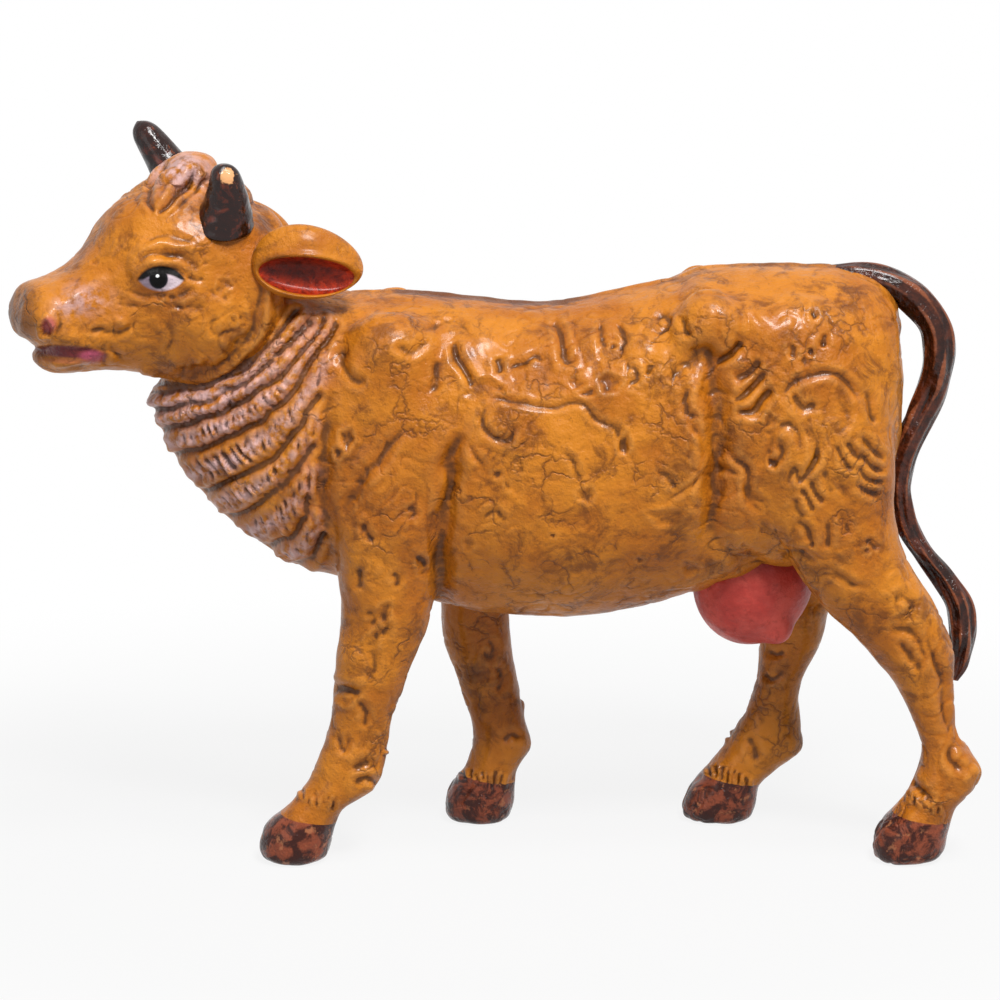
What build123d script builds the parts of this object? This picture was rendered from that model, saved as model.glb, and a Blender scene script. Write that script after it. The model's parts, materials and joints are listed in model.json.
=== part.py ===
from build123d import *

import os
from collections import namedtuple

# Walking cow figurine, moulded in pieces: hollow body and head halves, pegged legs, horns, ears, udder and tail.
#
# Millimetres. +X runs from muzzle to tail, -Y is the cow's left, +Z is up. The floor is Z = 0.
# The body halves part on the plane Y = 0.

# Shell and joint sizes
BODY_WALL = 1.8
HEAD_WALL = 1.5
FIT_CLEARANCE = 0.05  # radial, between a glued peg and its bore
SEAT_CLEARANCE = 0.1  # between the head's rim and the neck that it caps

# Trunk: heights of the outline over the floor, and half widths
RUMP_HEIGHT = 79.2
HIP_HEIGHT = 79.5
LOIN_HEIGHT = 76.8
BACK_HEIGHT = 74.9
WITHERS_HEIGHT = 76.4
BELLY_HEIGHT = 32.0
FLANK_HEIGHT = 37.4
BRISKET_HEIGHT = 37.4
HIP_HALF_WIDTH = 16.2
BELLY_HALF_WIDTH = 17.3
CHEST_HALF_WIDTH = 14.6
NECK_HALF_WIDTH = 10.2

# Trunk: places along the body
RUMP_END_X = 53.6
HIP_X = 32.5
LOIN_X = 19.0
MID_X = 8.9
RIB_X = -1.2
WITHERS_X = -11.3
SHOULDER_X = -18.0

# Neck: crest and throat points of its last section, inside the head
NECK_CREST = (-30.4, 82.5)
NECK_THROAT = (-47.0, 62.8)

# Folds of skin across the neck and chest
FOLD_COUNT = 7
FOLD_DEPTH = 0.8
FOLD_WIDTH = 1.3
FOLD_SLOPE = 32.0  # degrees that a fold rises from the throat back to the shoulder

# Legs
LEG_JOINT_HEIGHT = 31.6
LEG_OFFSET = 9.8  # from the parting plane to the middle of each leg
LEG_PEG_RADIUS = 2.0
LEG_PEG_LENGTH = 5.0
LEG_PEG_ROOT = 1.5  # how far below its joint and the belly a peg starts
LEG_TOP_HALF_WIDTH = 4.9
KNEE_HEIGHT = 25.0
FETLOCK_HEIGHT = 13.2
PASTERN_HEIGHT = 8.6
HOOF_TOP_HEIGHT = 6.0
HOOF_HALF_WIDTH = 4.5
CANNON_HALF_WIDTH = 3.0
FETLOCK_HALF_WIDTH = 3.7

# Head, in its own frame: its origin is by the middle of the neck's last section, +X runs back from the muzzle
HEAD_SET_BACK = 4.2  # from the middle of the neck's last section
HEAD_DROP = 0.2
HEAD_TURN = 22.0  # degrees towards the cow's left
CROWN_X = -12.0  # the head is solid from here back
HEAD_PEG_RADIUS = 1.2
HEAD_PEG_LENGTH = 2.6

HORN_BASE = (-3.4, 7.4, 13.2)
HORN_TIP = (-7.8, 11.6, 24.8)
HORN_BASE_RADIUS = 3.5
HORN_TIP_RADIUS = 1.5
HORN_CHIP = 3.0  # how much shorter the left horn is, its tip having broken off

EAR_ROOT = (0.4, 8.6, 9.4)
EAR_TIP = (13.0, 13.6, 7.4)
EAR_HALF_WIDTH = 5.0
EAR_HALF_THICKNESS = 2.1
EAR_RIM = 0.9

# Udder
UDDER_X = 34.6
UDDER_HALF_LENGTH = 8.2
UDDER_HALF_WIDTH = 7.8
UDDER_DEPTH = 9.4  # below the belly
UDDER_PEG_RADIUS = 1.6
UDDER_PEG_LENGTH = 4.0

# Tail
TAIL_ROOT_RADIUS = 2.2
TAIL_SWITCH_RADIUS = 1.9
TAIL_PEG_RADIUS = 1.3
TAIL_PEG_LENGTH = 5.0

# Dowels across the parting planes
DOWEL_RADIUS = 1.0
DOWEL_LENGTH = 5.0
DOWEL_BOSS_RADIUS = 2.2

LEFT, RIGHT = -1, 1

# One cross-section of a moulded half: its highest and lowest points (x, z) on the parting plane, and its half width
Section = namedtuple("Section", "top bottom half_width")
# One level slice of a limb: height, front and rear edges along X, distance from the parting plane, half width
Slice = namedtuple("Slice", "height front rear offset half_width")


def trunk_sections():
    """Sections from the rump forward to the neck's end; the planes tip forward along the neck."""
    rump = [
        Section((RUMP_END_X, RUMP_HEIGHT - 8), (RUMP_END_X, RUMP_HEIGHT - 24), 6.0),
        Section((RUMP_END_X - 2.2, RUMP_HEIGHT - 3), (RUMP_END_X - 2.2, FLANK_HEIGHT + 11), HIP_HALF_WIDTH - 6),
        Section((RUMP_END_X - 7.6, RUMP_HEIGHT), (RUMP_END_X - 7.6, FLANK_HEIGHT + 4), HIP_HALF_WIDTH - 2.6),
    ]
    barrel = [
        Section((HIP_X, HIP_HEIGHT), (HIP_X, FLANK_HEIGHT), HIP_HALF_WIDTH),
        Section((LOIN_X, LOIN_HEIGHT), (LOIN_X, BELLY_HEIGHT + 2.0), BELLY_HALF_WIDTH - 0.5),
        Section((MID_X, BACK_HEIGHT), (MID_X, BELLY_HEIGHT), BELLY_HALF_WIDTH),
        Section((RIB_X, BACK_HEIGHT), (RIB_X, BELLY_HEIGHT + 0.5), BELLY_HALF_WIDTH - 0.4),
        Section((WITHERS_X, WITHERS_HEIGHT), (WITHERS_X, BELLY_HEIGHT + 2.6), CHEST_HALF_WIDTH + 1),
        Section((SHOULDER_X, WITHERS_HEIGHT - 0.3), (SHOULDER_X - 1.5, BRISKET_HEIGHT), CHEST_HALF_WIDTH),
    ]
    chest_top = Vector(SHOULDER_X - 4.6, WITHERS_HEIGHT - 0.4)
    chest_front = Vector(SHOULDER_X - 9.6, BRISKET_HEIGHT + 2.4)
    crest, throat = Vector(*NECK_CREST), Vector(*NECK_THROAT)
    # share of the way up the neck, how far the throat line bulges forward there, half width
    steps = [(0.0, 0.0, CHEST_HALF_WIDTH - 0.6), (0.25, 1.8, 13.2), (0.5, 2.6, 12.2), (0.75, 2.2, 11.2)]
    neck = []
    for share, bulge, half_width in steps:
        top = chest_top + (crest - chest_top) * share
        bottom = chest_front + (throat - chest_front) * share + Vector(-bulge, -bulge)
        neck.append(Section((top.X, top.Y), (bottom.X, bottom.Y), half_width))
    neck.append(Section(NECK_CREST, NECK_THROAT, NECK_HALF_WIDTH))
    return rump + barrel + neck


def head_sections():
    """Sections of the head in its own frame, from the muzzle back."""
    # place along the head, top, bottom, half width
    rows = [
        (-31.6, 4.6, 0.4, 3.0),
        (-30.2, 6.6, -2.4, 5.6),
        (-27.0, 7.6, -4.8, 6.9),
        (-23.0, 9.2, -6.2, 7.2),
        (-19.5, 13.2, -6.0, 7.5),
        (-16.5, 17.0, -6.0, 8.5),
        (-12.0, 19.0, -6.9, 9.8),
        (-7.0, 19.6, -8.2, 10.4),
        (-2.0, 18.4, -8.8, 10.2),
        (2.0, 15.0, -5.0, 9.2),
        (4.4, 12.0, 0.5, 6.6),
    ]
    return [Section((x, top), (x, bottom), half_width) for x, top, bottom, half_width in rows]


def muzzle_sections():
    """Sections of the hollow face, in front of the thick crown that carries the horns, ears and neck seat."""
    return [section for section in head_sections() if section.top[0] <= CROWN_X]


def half_face(section, side):
    """One side's half of a section, closed along the parting plane."""
    top = Vector(section.top[0], 0, section.top[1])
    bottom = Vector(section.bottom[0], 0, section.bottom[1])
    middle = (top + bottom) / 2
    across = Vector(0, side * section.half_width, 0)
    up = (top - bottom) / 2
    shoulder = 0.74  # where the outline passes its corners: 0.707 would be an ellipse
    points = [top, middle + (up + across) * shoulder, middle + across, middle - (up - across) * shoulder, bottom]
    outline = Spline(*points, tangents=[across.normalized(), -across.normalized()])
    return make_face([outline, Line(bottom, top)])


def half_loft(sections, side):
    return loft([half_face(section, side) for section in sections])


def shrunk(sections, wall):
    """The sections of the hollow inside, without those at the closed ends."""
    inner = []
    for section in sections[1:-1]:
        top, bottom = Vector(*section.top), Vector(*section.bottom)
        step = (top - bottom).normalized() * wall
        top, bottom = top - step, bottom + step
        inner.append(Section((top.X, top.Y), (bottom.X, bottom.Y), section.half_width - wall))
    return inner


def limb(slices, side):
    """A leg or part of one, lofted through level ovals."""
    ovals = []
    for cut in slices:
        middle = ((cut.front + cut.rear) / 2, side * cut.offset, cut.height)
        ovals.append(Plane(middle) * Ellipse((cut.rear - cut.front) / 2, cut.half_width))
    return loft(ovals)


def rod(start, end, radius):
    """A round peg or bore from one point to another."""
    start, end = Vector(*start), Vector(*end)
    along = end - start
    return extrude(Plane(start, z_dir=along) * Circle(radius), along.length)


# Each leg's slices as front and rear edges along X
FRONT_LEFT = {"side": LEFT, "shoulder": -14.0, "joint": (-21.4, -10.0), "knee": (-22.0, -12.6),
              "cannon": (-22.6, -14.6), "fetlock": (-24.7, -15.4), "pastern": (-27.6, -18.8), "hoof": (-32.6, -22.4)}
FRONT_RIGHT = {"side": RIGHT, "shoulder": -11.0, "joint": (-8.5, 1.3), "knee": (-7.6, 1.5),
               "cannon": (-5.2, 2.7), "fetlock": (-3.8, 4.4), "pastern": (-4.3, 3.2), "hoof": (-7.6, 1.8)}
REAR_LEFT = {"side": LEFT, "shoulder": 41.0, "joint": (46.4, 59.8), "knee": (52.6, 60.8),
             "cannon": (55.8, 61.4), "fetlock": (56.2, 65.0), "pastern": (54.2, 62.6), "hoof": (50.4, 60.2)}
REAR_RIGHT = {"side": RIGHT, "shoulder": 40.0, "joint": (36.5, 46.4), "knee": (36.0, 44.0),
              "cannon": (35.0, 41.4), "fetlock": (32.6, 42.2), "pastern": (29.8, 39.4), "hoof": (25.2, 35.6)}


def lower_leg(pose):
    """A solid leg from its joint down to the hoof."""
    cannon_height = (KNEE_HEIGHT + FETLOCK_HEIGHT) / 2
    slices = [
        Slice(LEG_JOINT_HEIGHT, *pose["joint"], LEG_OFFSET, LEG_TOP_HALF_WIDTH),
        Slice(KNEE_HEIGHT, *pose["knee"], LEG_OFFSET, 3.9),
        Slice(cannon_height, *pose["cannon"], LEG_OFFSET, CANNON_HALF_WIDTH),
        Slice(FETLOCK_HEIGHT, *pose["fetlock"], LEG_OFFSET, FETLOCK_HALF_WIDTH),
        Slice(PASTERN_HEIGHT, *pose["pastern"], LEG_OFFSET, FETLOCK_HALF_WIDTH - 0.3),
    ]
    shaft = limb(slices, pose["side"])
    hoof_front, hoof_rear = pose["hoof"]
    hoof = limb(
        [
            Slice(PASTERN_HEIGHT, *pose["pastern"], LEG_OFFSET, FETLOCK_HALF_WIDTH - 0.3),
            Slice(HOOF_TOP_HEIGHT, hoof_front + 1.0, hoof_rear, LEG_OFFSET, HOOF_HALF_WIDTH - 0.4),
            Slice(HOOF_TOP_HEIGHT / 2, hoof_front, hoof_rear, LEG_OFFSET, HOOF_HALF_WIDTH),
            Slice(0, hoof_front + 0.6, hoof_rear - 0.6, LEG_OFFSET, HOOF_HALF_WIDTH - 0.3),
        ],
        pose["side"],
    )
    return shaft + hoof


def leg_peg(pose, radius, length):
    """A peg from inside the leg, below the belly, up past the joint."""
    x = sum(pose["joint"]) / 2
    y = pose["side"] * LEG_OFFSET
    foot = min(LEG_JOINT_HEIGHT, BELLY_HEIGHT) - LEG_PEG_ROOT
    return rod((x, y, foot), (x, y, LEG_JOINT_HEIGHT + length), radius)


def pegged_leg(pose, body):
    """A leg fitted to the underside of the body, with its peg."""
    return largest(lower_leg(pose) - body) + leg_peg(pose, LEG_PEG_RADIUS, LEG_PEG_LENGTH)


def stub(pose, back_height, root, rows):
    """The upper leg that the body half is moulded with, down to the leg joint."""
    front, rear = pose["joint"]
    slices = []
    # share of the height from joint to back, share of the way from root to joint along X, distance out, half width
    for height, along, offset, half_width in rows:
        z = LEG_JOINT_HEIGHT + height * (back_height - LEG_JOINT_HEIGHT)
        edges = [start + along * (end - start) for start, end in zip(root, (front, rear))]
        slices.append(Slice(z, *edges, offset, half_width))
    return limb(slices, pose["side"])


def front_stub(pose):
    """The shoulder and arm."""
    rows = [
        (0.86, 0.0, LEG_OFFSET - 2.4, 5.0),
        (0.64, 0.0, LEG_OFFSET - 1.5, 6.8),
        (0.42, 0.3, LEG_OFFSET - 0.8, 6.8),
        (0.20, 0.65, LEG_OFFSET - 0.2, 5.8),
        (0.0, 1.0, LEG_OFFSET, LEG_TOP_HALF_WIDTH),
    ]
    return stub(pose, WITHERS_HEIGHT, (pose["shoulder"] - 8.0, pose["shoulder"] + 8.5), rows)


def rear_stub(pose):
    """The haunch and thigh."""
    rows = [
        (0.90, 0.0, LEG_OFFSET - 2.6, 4.6),
        (0.70, 0.0, LEG_OFFSET - 1.0, 6.9),
        (0.50, 0.0, LEG_OFFSET - 0.4, 7.4),
        (0.33, 0.2, LEG_OFFSET - 0.2, 7.0),
        (0.16, 0.6, LEG_OFFSET, 5.8),
        (0.0, 1.0, LEG_OFFSET, LEG_TOP_HALF_WIDTH),
    ]
    return stub(pose, RUMP_HEIGHT, (pose["shoulder"] - 11.0, pose["shoulder"] + 11.5), rows)


def trunk_height(x, edge):
    """Height of the back ("top") or belly ("bottom") over the floor at a place along the barrel."""
    points = sorted(getattr(section, edge) for section in trunk_sections())
    for (x0, z0), (x1, z1) in zip(points, points[1:]):
        if x0 <= x <= x1:
            return z0 + (z1 - z0) * (x - x0) / (x1 - x0)
    raise ValueError(f"no trunk at x = {x}")


def head_location():
    """Where the head's frame sits: by the middle of the neck's last section, turned to the left."""
    x = (NECK_CREST[0] + NECK_THROAT[0]) / 2 + HEAD_SET_BACK
    z = (NECK_CREST[1] + NECK_THROAT[1]) / 2 - HEAD_DROP
    return Location((x, 0, z), (0, 0, HEAD_TURN))


def on_side(point, side):
    """A point given for the right side, moved to the side that is asked for."""
    return Vector(point[0], side * point[1], point[2])


# The tail's line from its root, as steps back and down from the rump's top, with the radius there
TAIL_LINE = [
    (0.0, 0.0, TAIL_ROOT_RADIUS),
    (4.2, 0.5, TAIL_ROOT_RADIUS),
    (8.0, 2.7, TAIL_ROOT_RADIUS),
    (10.6, 6.1, TAIL_ROOT_RADIUS),
    (11.4, 10.1, TAIL_ROOT_RADIUS),
    (10.7, 14.5, TAIL_ROOT_RADIUS),
    (8.8, 19.1, 2.0),
    (6.9, 23.9, 1.85),
    (6.4, 28.7, 1.7),
    (7.4, 33.5, 1.55),
    (9.9, 37.5, 1.4),
    (12.6, 40.9, 1.5),
    (14.6, 44.5, TAIL_SWITCH_RADIUS),
    (15.2, 48.7, TAIL_SWITCH_RADIUS),
    (14.8, 52.5, 1.3),
    (14.2, 55.2, 0.5),
]
TAIL_SWING = 1.6  # how far the switch hangs to the left of the parting plane


def tail_root():
    return Vector(RUMP_END_X - 6.2, 0, RUMP_HEIGHT - 1.5)


def tail_loft():
    """The tail's tube, through circles square to its line."""
    root = tail_root()
    length = len(TAIL_LINE) - 1
    points = [
        root + Vector(back, LEFT * TAIL_SWING * (i / length) ** 2, -down) for i, (back, down, _) in enumerate(TAIL_LINE)
    ]
    rings = []
    for i, (_, _, radius) in enumerate(TAIL_LINE):
        along = points[min(i + 1, length)] - points[max(i - 1, 0)]
        rings.append(Plane(points[i], x_dir=(0, 1, 0), z_dir=along) * Circle(radius))
    return loft(rings)


def tail_peg(radius, length):
    root = tail_root() + Vector(2.0, 0, -0.3)
    return rod(root, root + Vector(-length - 2.0, 0, -1.6), radius)


def udder_peg(radius, length):
    seat = trunk_height(UDDER_X, "bottom")
    return rod((UDDER_X, 0, seat - 3.0), (UDDER_X, 0, seat + length), radius)


def udder_ball():
    """An egg whose upper part lies in the belly."""
    seat = trunk_height(UDDER_X, "bottom")
    turned = Rotation(35, 0, 40) * Sphere(1)  # keeps the sphere's seam off the parting plane
    ball = scale(turned, by=(UDDER_HALF_LENGTH, UDDER_HALF_WIDTH, UDDER_DEPTH))
    return Location((UDDER_X, 0, seat), (0, 12, 0)) * ball


def dowel_places():
    """Middle of each body dowel: under the back and over the belly, clear of the walls by a boss."""
    inset = BODY_WALL + DOWEL_BOSS_RADIUS - 0.6
    places = [(x, trunk_height(x, "top") - inset) for x in (HIP_X, WITHERS_X)]
    places += [(x, trunk_height(x, "bottom") + inset) for x in (LOIN_X, RIB_X)]
    return places


def head_dowel_places():
    inset = HEAD_WALL + DOWEL_BOSS_RADIUS - 0.6
    return [(-9.5, 19.3 - inset), (-24.5, -5.8 + inset)]


def across(place, reach, radius):
    """A round bar across the parting plane at (x, z), reaching as far on both sides."""
    x, z = place
    return rod((x, -reach, z), (x, reach, z), radius)


def bosses(places, side):
    """Dowel bosses on one half's inside."""
    reach = DOWEL_LENGTH / 2 + 1.0
    return [rod((x, 0, z), (x, side * reach, z), DOWEL_BOSS_RADIUS) for x, z in places]


def dowel_bores(places):
    reach = DOWEL_LENGTH / 2 + FIT_CLEARANCE
    return [across(place, reach, DOWEL_RADIUS + FIT_CLEARANCE) for place in places]


def neck_folds(side):
    """Shallow grooves, one below the other, from the throat line back to the shoulder."""
    core = half_loft(shrunk(trunk_sections(), FOLD_DEPTH), side)
    first, last = Vector(*NECK_THROAT), Vector(SHOULDER_X - 9.6, BRISKET_HEIGHT + 2.4)
    first, last = first + Vector(2.6, -7.0), last + Vector(-1.4, 1.6)
    reach = CHEST_HALF_WIDTH + 4
    grooves = []
    for i in range(FOLD_COUNT):
        share = i / (FOLD_COUNT - 1)
        throat = first + (last - first) * share
        length = 24.0 - 16.0 * share
        outward = Align.MIN if side == RIGHT else Align.MAX
        slab = Box(length, reach, FOLD_WIDTH, align=(Align.MIN, outward, Align.CENTER))
        grooves.append(Location((throat.X - 4, 0, throat.Y - 2.4), (0, -FOLD_SLOPE, 0)) * slab - core)
    return grooves


def body_solid(side, front_pose, rear_pose):
    """One side of the body, not yet hollow."""
    trunk = half_loft(trunk_sections(), side) - neck_folds(side)
    return trunk + front_stub(front_pose) + rear_stub(rear_pose)


def body_shell(solid, side, poses):
    hollow = half_loft(shrunk(trunk_sections(), BODY_WALL), side)
    shell = solid - hollow + bosses(dowel_places(), side)
    bores = [leg_peg(pose, LEG_PEG_RADIUS + FIT_CLEARANCE, LEG_PEG_LENGTH + FIT_CLEARANCE) for pose in poses]
    bores += dowel_bores(dowel_places())
    bores.append(tail_peg(TAIL_PEG_RADIUS + FIT_CLEARANCE, TAIL_PEG_LENGTH + FIT_CLEARANCE))
    bores.append(udder_peg(UDDER_PEG_RADIUS + FIT_CLEARANCE, UDDER_PEG_LENGTH + FIT_CLEARANCE))
    return shell - bores


def horn_loft(side):
    """A tapered horn with a blunt tip, bowed a little, seated just under the head's surface."""
    base, tip = on_side(HORN_BASE, side), on_side(HORN_TIP, side)
    along = (tip - base).normalized()
    if side == LEFT:
        tip = tip - along * HORN_CHIP
    sunk = base - along * 1.6
    blunt = tip - along * HORN_TIP_RADIUS
    middle = (base + tip) / 2 + Vector(0.4, side * 0.5, 0)
    rings = [(sunk, HORN_BASE_RADIUS), (middle, (HORN_BASE_RADIUS + HORN_TIP_RADIUS) / 2 + 0.3), (blunt, HORN_TIP_RADIUS)]
    horn = loft([Plane(point, x_dir=(0, 1, 0), z_dir=along) * Circle(radius) for point, radius in rings])
    return horn + Location(blunt) * Sphere(HORN_TIP_RADIUS)


def horn_peg(side, radius, length):
    base, tip = on_side(HORN_BASE, side), on_side(HORN_TIP, side)
    along = (tip - base).normalized()
    return rod(base - along, base - along * (1.6 + length), radius)


def ear_plane(side):
    """The ear's own frame: X from root to tip, Z out of the cup."""
    root, tip = on_side(EAR_ROOT, side), on_side(EAR_TIP, side)
    along = (tip - root).normalized()
    out = Vector(-0.32, side, -0.05)
    out = (out - along * out.dot(along)).normalized()
    return Plane((root + tip) / 2, x_dir=along, z_dir=out)


def ear_leaf(side):
    """A cupped leaf: an egg with a smaller one cut out of its open face."""
    half_length = (Vector(*EAR_TIP) - Vector(*EAR_ROOT)).length / 2 + 0.6
    leaf = scale(Sphere(1), by=(half_length, EAR_HALF_WIDTH, EAR_HALF_THICKNESS))
    cup = scale(Sphere(1), by=(half_length - EAR_RIM, EAR_HALF_WIDTH - EAR_RIM, EAR_HALF_THICKNESS))
    return ear_plane(side) * (leaf - Pos(0.6, 0, EAR_RIM) * cup)


def ear_peg(side, radius, length):
    root, tip = on_side(EAR_ROOT, side), on_side(EAR_TIP, side)
    along = (tip - root).normalized()
    inward = root + Vector(-0.4, -side * length, 0)
    return rod(root + along * 1.2, inward, radius)


def head_solid(side):
    forelock = scale(Sphere(1), by=(5.2, 4.2, 3.4))
    tuft = split(Location((-6.4, 0, 18.6), (0, 22, 0)) * forelock, Plane.XZ, Keep.TOP if side == LEFT else Keep.BOTTOM)
    return half_loft(head_sections(), side) + tuft


def head_shell(side, neck_plugs):
    """One side of the head: hollow face, bored for its horn, ear and dowels, cut out where it caps the neck."""
    hollow = half_loft(shrunk(muzzle_sections(), HEAD_WALL), side)
    shell = head_solid(side) - hollow + bosses(head_dowel_places(), side)
    shell -= dowel_bores(head_dowel_places())
    shell -= [
        horn_loft(side),
        horn_peg(side, HEAD_PEG_RADIUS + FIT_CLEARANCE, HEAD_PEG_LENGTH + FIT_CLEARANCE),
        ear_peg(side, HEAD_PEG_RADIUS + FIT_CLEARANCE, HEAD_PEG_LENGTH + FIT_CLEARANCE),
    ]
    return largest(head_location() * shell - neck_plugs[LEFT] - neck_plugs[RIGHT])


def largest(shape):
    """The main solid of a cut, without loose crumbs."""
    return max(shape.solids(), key=lambda solid: solid.volume)


def neck_plug(side):
    """One side of the trunk and neck, grown by the clearance that the head is cut to."""
    grown = []
    for section in trunk_sections():
        top, bottom = Vector(*section.top), Vector(*section.bottom)
        step = (top - bottom).normalized() * SEAT_CLEARANCE
        top, bottom = top + step, bottom - step
        grown.append(Section((top.X, top.Y), (bottom.X, bottom.Y), section.half_width + SEAT_CLEARANCE))
    return half_loft(grown, side)


def build():
    """Every node by name."""
    poses = {LEFT: (FRONT_LEFT, REAR_LEFT), RIGHT: (FRONT_RIGHT, REAR_RIGHT)}
    names = {LEFT: "left", RIGHT: "right"}
    solids = {side: body_solid(side, *poses[side]) for side in (LEFT, RIGHT)}
    body = [solids[LEFT], solids[RIGHT]]
    plugs = {side: neck_plug(side) for side in (LEFT, RIGHT)}
    nodes = {}
    for side, name in names.items():
        nodes[f"{name}_body_shell"] = largest(body_shell(solids[side], side, poses[side]))
        nodes[f"front_{name}_leg"] = pegged_leg(poses[side][0], body)
        nodes[f"rear_{name}_leg"] = pegged_leg(poses[side][1], body)
        nodes[f"{name}_head_shell"] = head_shell(side, plugs)
        nodes[f"{name}_horn"] = head_location() * (horn_loft(side) + horn_peg(side, HEAD_PEG_RADIUS, HEAD_PEG_LENGTH))
        ear = largest(ear_leaf(side) - head_solid(side)) + ear_peg(side, HEAD_PEG_RADIUS, HEAD_PEG_LENGTH)
        nodes[f"{name}_ear"] = largest(head_location() * ear - body)
    udder = udder_ball()
    for side in (LEFT, RIGHT):
        udder -= half_loft(trunk_sections(), side)
        udder -= rear_stub(poses[side][1])
        udder -= lower_leg(poses[side][1])
    nodes["udder"] = largest(udder) + udder_peg(UDDER_PEG_RADIUS, UDDER_PEG_LENGTH)
    nodes["tail"] = largest(tail_loft() - body) + tail_peg(TAIL_PEG_RADIUS, TAIL_PEG_LENGTH)
    pins = [across(place, DOWEL_LENGTH / 2, DOWEL_RADIUS) for place in dowel_places()]
    nodes["body_dowels"] = Compound(children=[Part(pin.wrapped) for pin in pins])
    head_pins = [across(place, DOWEL_LENGTH / 2, DOWEL_RADIUS) for place in head_dowel_places()]
    nodes["head_dowels"] = Compound(children=[head_location() * Part(pin.wrapped) for pin in head_pins])
    return nodes


os.makedirs("parts", exist_ok=True)
for node, shape in build().items():
    export_step(shape, f"parts/{node}.step")
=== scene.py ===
import bpy, bmesh, json, math, random
import numpy as np
from mathutils import Matrix, Vector, noise

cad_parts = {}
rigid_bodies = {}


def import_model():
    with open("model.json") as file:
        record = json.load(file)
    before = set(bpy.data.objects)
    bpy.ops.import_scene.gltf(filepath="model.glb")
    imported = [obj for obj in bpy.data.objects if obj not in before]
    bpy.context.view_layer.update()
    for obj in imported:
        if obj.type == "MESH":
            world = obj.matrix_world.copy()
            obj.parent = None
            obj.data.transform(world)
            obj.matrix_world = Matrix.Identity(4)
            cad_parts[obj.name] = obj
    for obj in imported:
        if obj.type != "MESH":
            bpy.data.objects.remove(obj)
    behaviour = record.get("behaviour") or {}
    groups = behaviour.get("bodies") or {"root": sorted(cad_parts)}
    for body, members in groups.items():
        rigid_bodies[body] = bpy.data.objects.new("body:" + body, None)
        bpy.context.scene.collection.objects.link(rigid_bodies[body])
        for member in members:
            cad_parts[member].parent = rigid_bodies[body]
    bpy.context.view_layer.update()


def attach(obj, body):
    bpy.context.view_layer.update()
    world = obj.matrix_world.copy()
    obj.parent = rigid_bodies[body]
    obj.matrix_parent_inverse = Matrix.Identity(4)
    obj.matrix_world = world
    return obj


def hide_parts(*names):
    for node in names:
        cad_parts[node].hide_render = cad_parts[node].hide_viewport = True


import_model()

random.seed(7)
bpy.ops.object.select_all(action="DESELECT")

# the cow is modelled in millimetres and scaled to metres when a piece is finished
# muzzle at -X, its left side at -Y; the camera looks at the left side
viewSetup = {"lens": 160.0, "distance": 600.0, "elevation": 12.0, "aim": (0.135, 0.0, 47.45)}


# camera first, so that the surface marks can be placed on its side view
def sideView(points):
    # where points land on a 1000 x 1000 side view
    elev = math.radians(viewSetup["elevation"])
    q = points - np.array(viewSetup["aim"])
    depth = viewSetup["distance"] - (-q[:, 1] * math.cos(elev) + q[:, 2] * math.sin(elev))
    scale = viewSetup["lens"] / 36.0 * 1000.0 / depth
    u = 500 + q[:, 0] * scale
    v = 500 - (q[:, 1] * math.sin(elev) + q[:, 2] * math.cos(elev)) * scale
    return np.stack([u, v], 1)


def addCamera():
    elev = math.radians(viewSetup["elevation"])
    aim = Vector(viewSetup["aim"]) / 1000
    back = Vector((0, -math.cos(elev), math.sin(elev)))
    bpy.ops.object.camera_add(location=aim + back * viewSetup["distance"] / 1000,
                              rotation=(math.pi / 2 - elev, 0, 0))
    cam = bpy.context.object
    cam.name = "sideCamera"
    cam.data.lens = viewSetup["lens"]
    cam.data.sensor_width = 36
    cam.data.clip_start = 0.01
    bpy.context.scene.camera = cam


addCamera()
print("stage: camera")


# small mesh helpers
def smoothRows(rows, steps):
    # rows of numbers, eased with more rows between them
    rows = np.array(rows, float)
    ends = np.vstack([2 * rows[0] - rows[1], rows, 2 * rows[-1] - rows[-2]])
    out = []
    for i in range(1, len(ends) - 2):
        a, b, c, d = ends[i - 1:i + 3]
        for k in range(steps):
            t = k / steps
            bend = 2 * b + (c - a) * t + (2 * a - 5 * b + 4 * c - d) * t ** 2
            out.append(0.5 * (bend + (3 * b - a - 3 * c + d) * t ** 3))
    out.append(rows[-1])
    return np.array(out)


def roundedRing(middle, up, across, count=56, square=2.3):
    # one closed cross-section, a little squarer than an ellipse
    a = np.linspace(0, 2 * math.pi, count, endpoint=False)
    c, s = np.cos(a), np.sin(a)
    c = np.sign(c) * np.abs(c) ** (2 / square)
    s = np.sign(s) * np.abs(s) ** (2 / square)
    return np.array(middle) + np.outer(c, up) + np.outer(s, across)


def tubeThrough(name, rings):
    count = len(rings[0])
    faces = []
    for i in range(len(rings) - 1):
        for j in range(count):
            k = (j + 1) % count
            faces.append((i * count + j, i * count + k, (i + 1) * count + k, (i + 1) * count + j))
    faces.append(tuple(range(count - 1, -1, -1)))
    faces.append(tuple(range((len(rings) - 1) * count, len(rings) * count)))
    mesh = bpy.data.meshes.new(name)
    mesh.from_pydata(np.concatenate(rings).tolist(), [], faces)
    ob = bpy.data.objects.new(name, mesh)
    bpy.context.collection.objects.link(ob)
    outwardNormals(ob)
    return ob


def lump(place, size, turn=(0, 0, 0)):
    # a rounded mass of clay, to be merged with the rest
    bpy.ops.object.select_all(action="DESELECT")
    bpy.ops.mesh.primitive_uv_sphere_add(segments=32, ring_count=18, radius=1, location=place,
                                         rotation=[math.radians(t) for t in turn], scale=size)
    ob = bpy.context.object
    bpy.ops.object.transform_apply(location=True, rotation=True, scale=True)
    return ob


def pick(ob):
    bpy.ops.object.select_all(action="DESELECT")
    ob.select_set(True)
    bpy.context.view_layer.objects.active = ob


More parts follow.
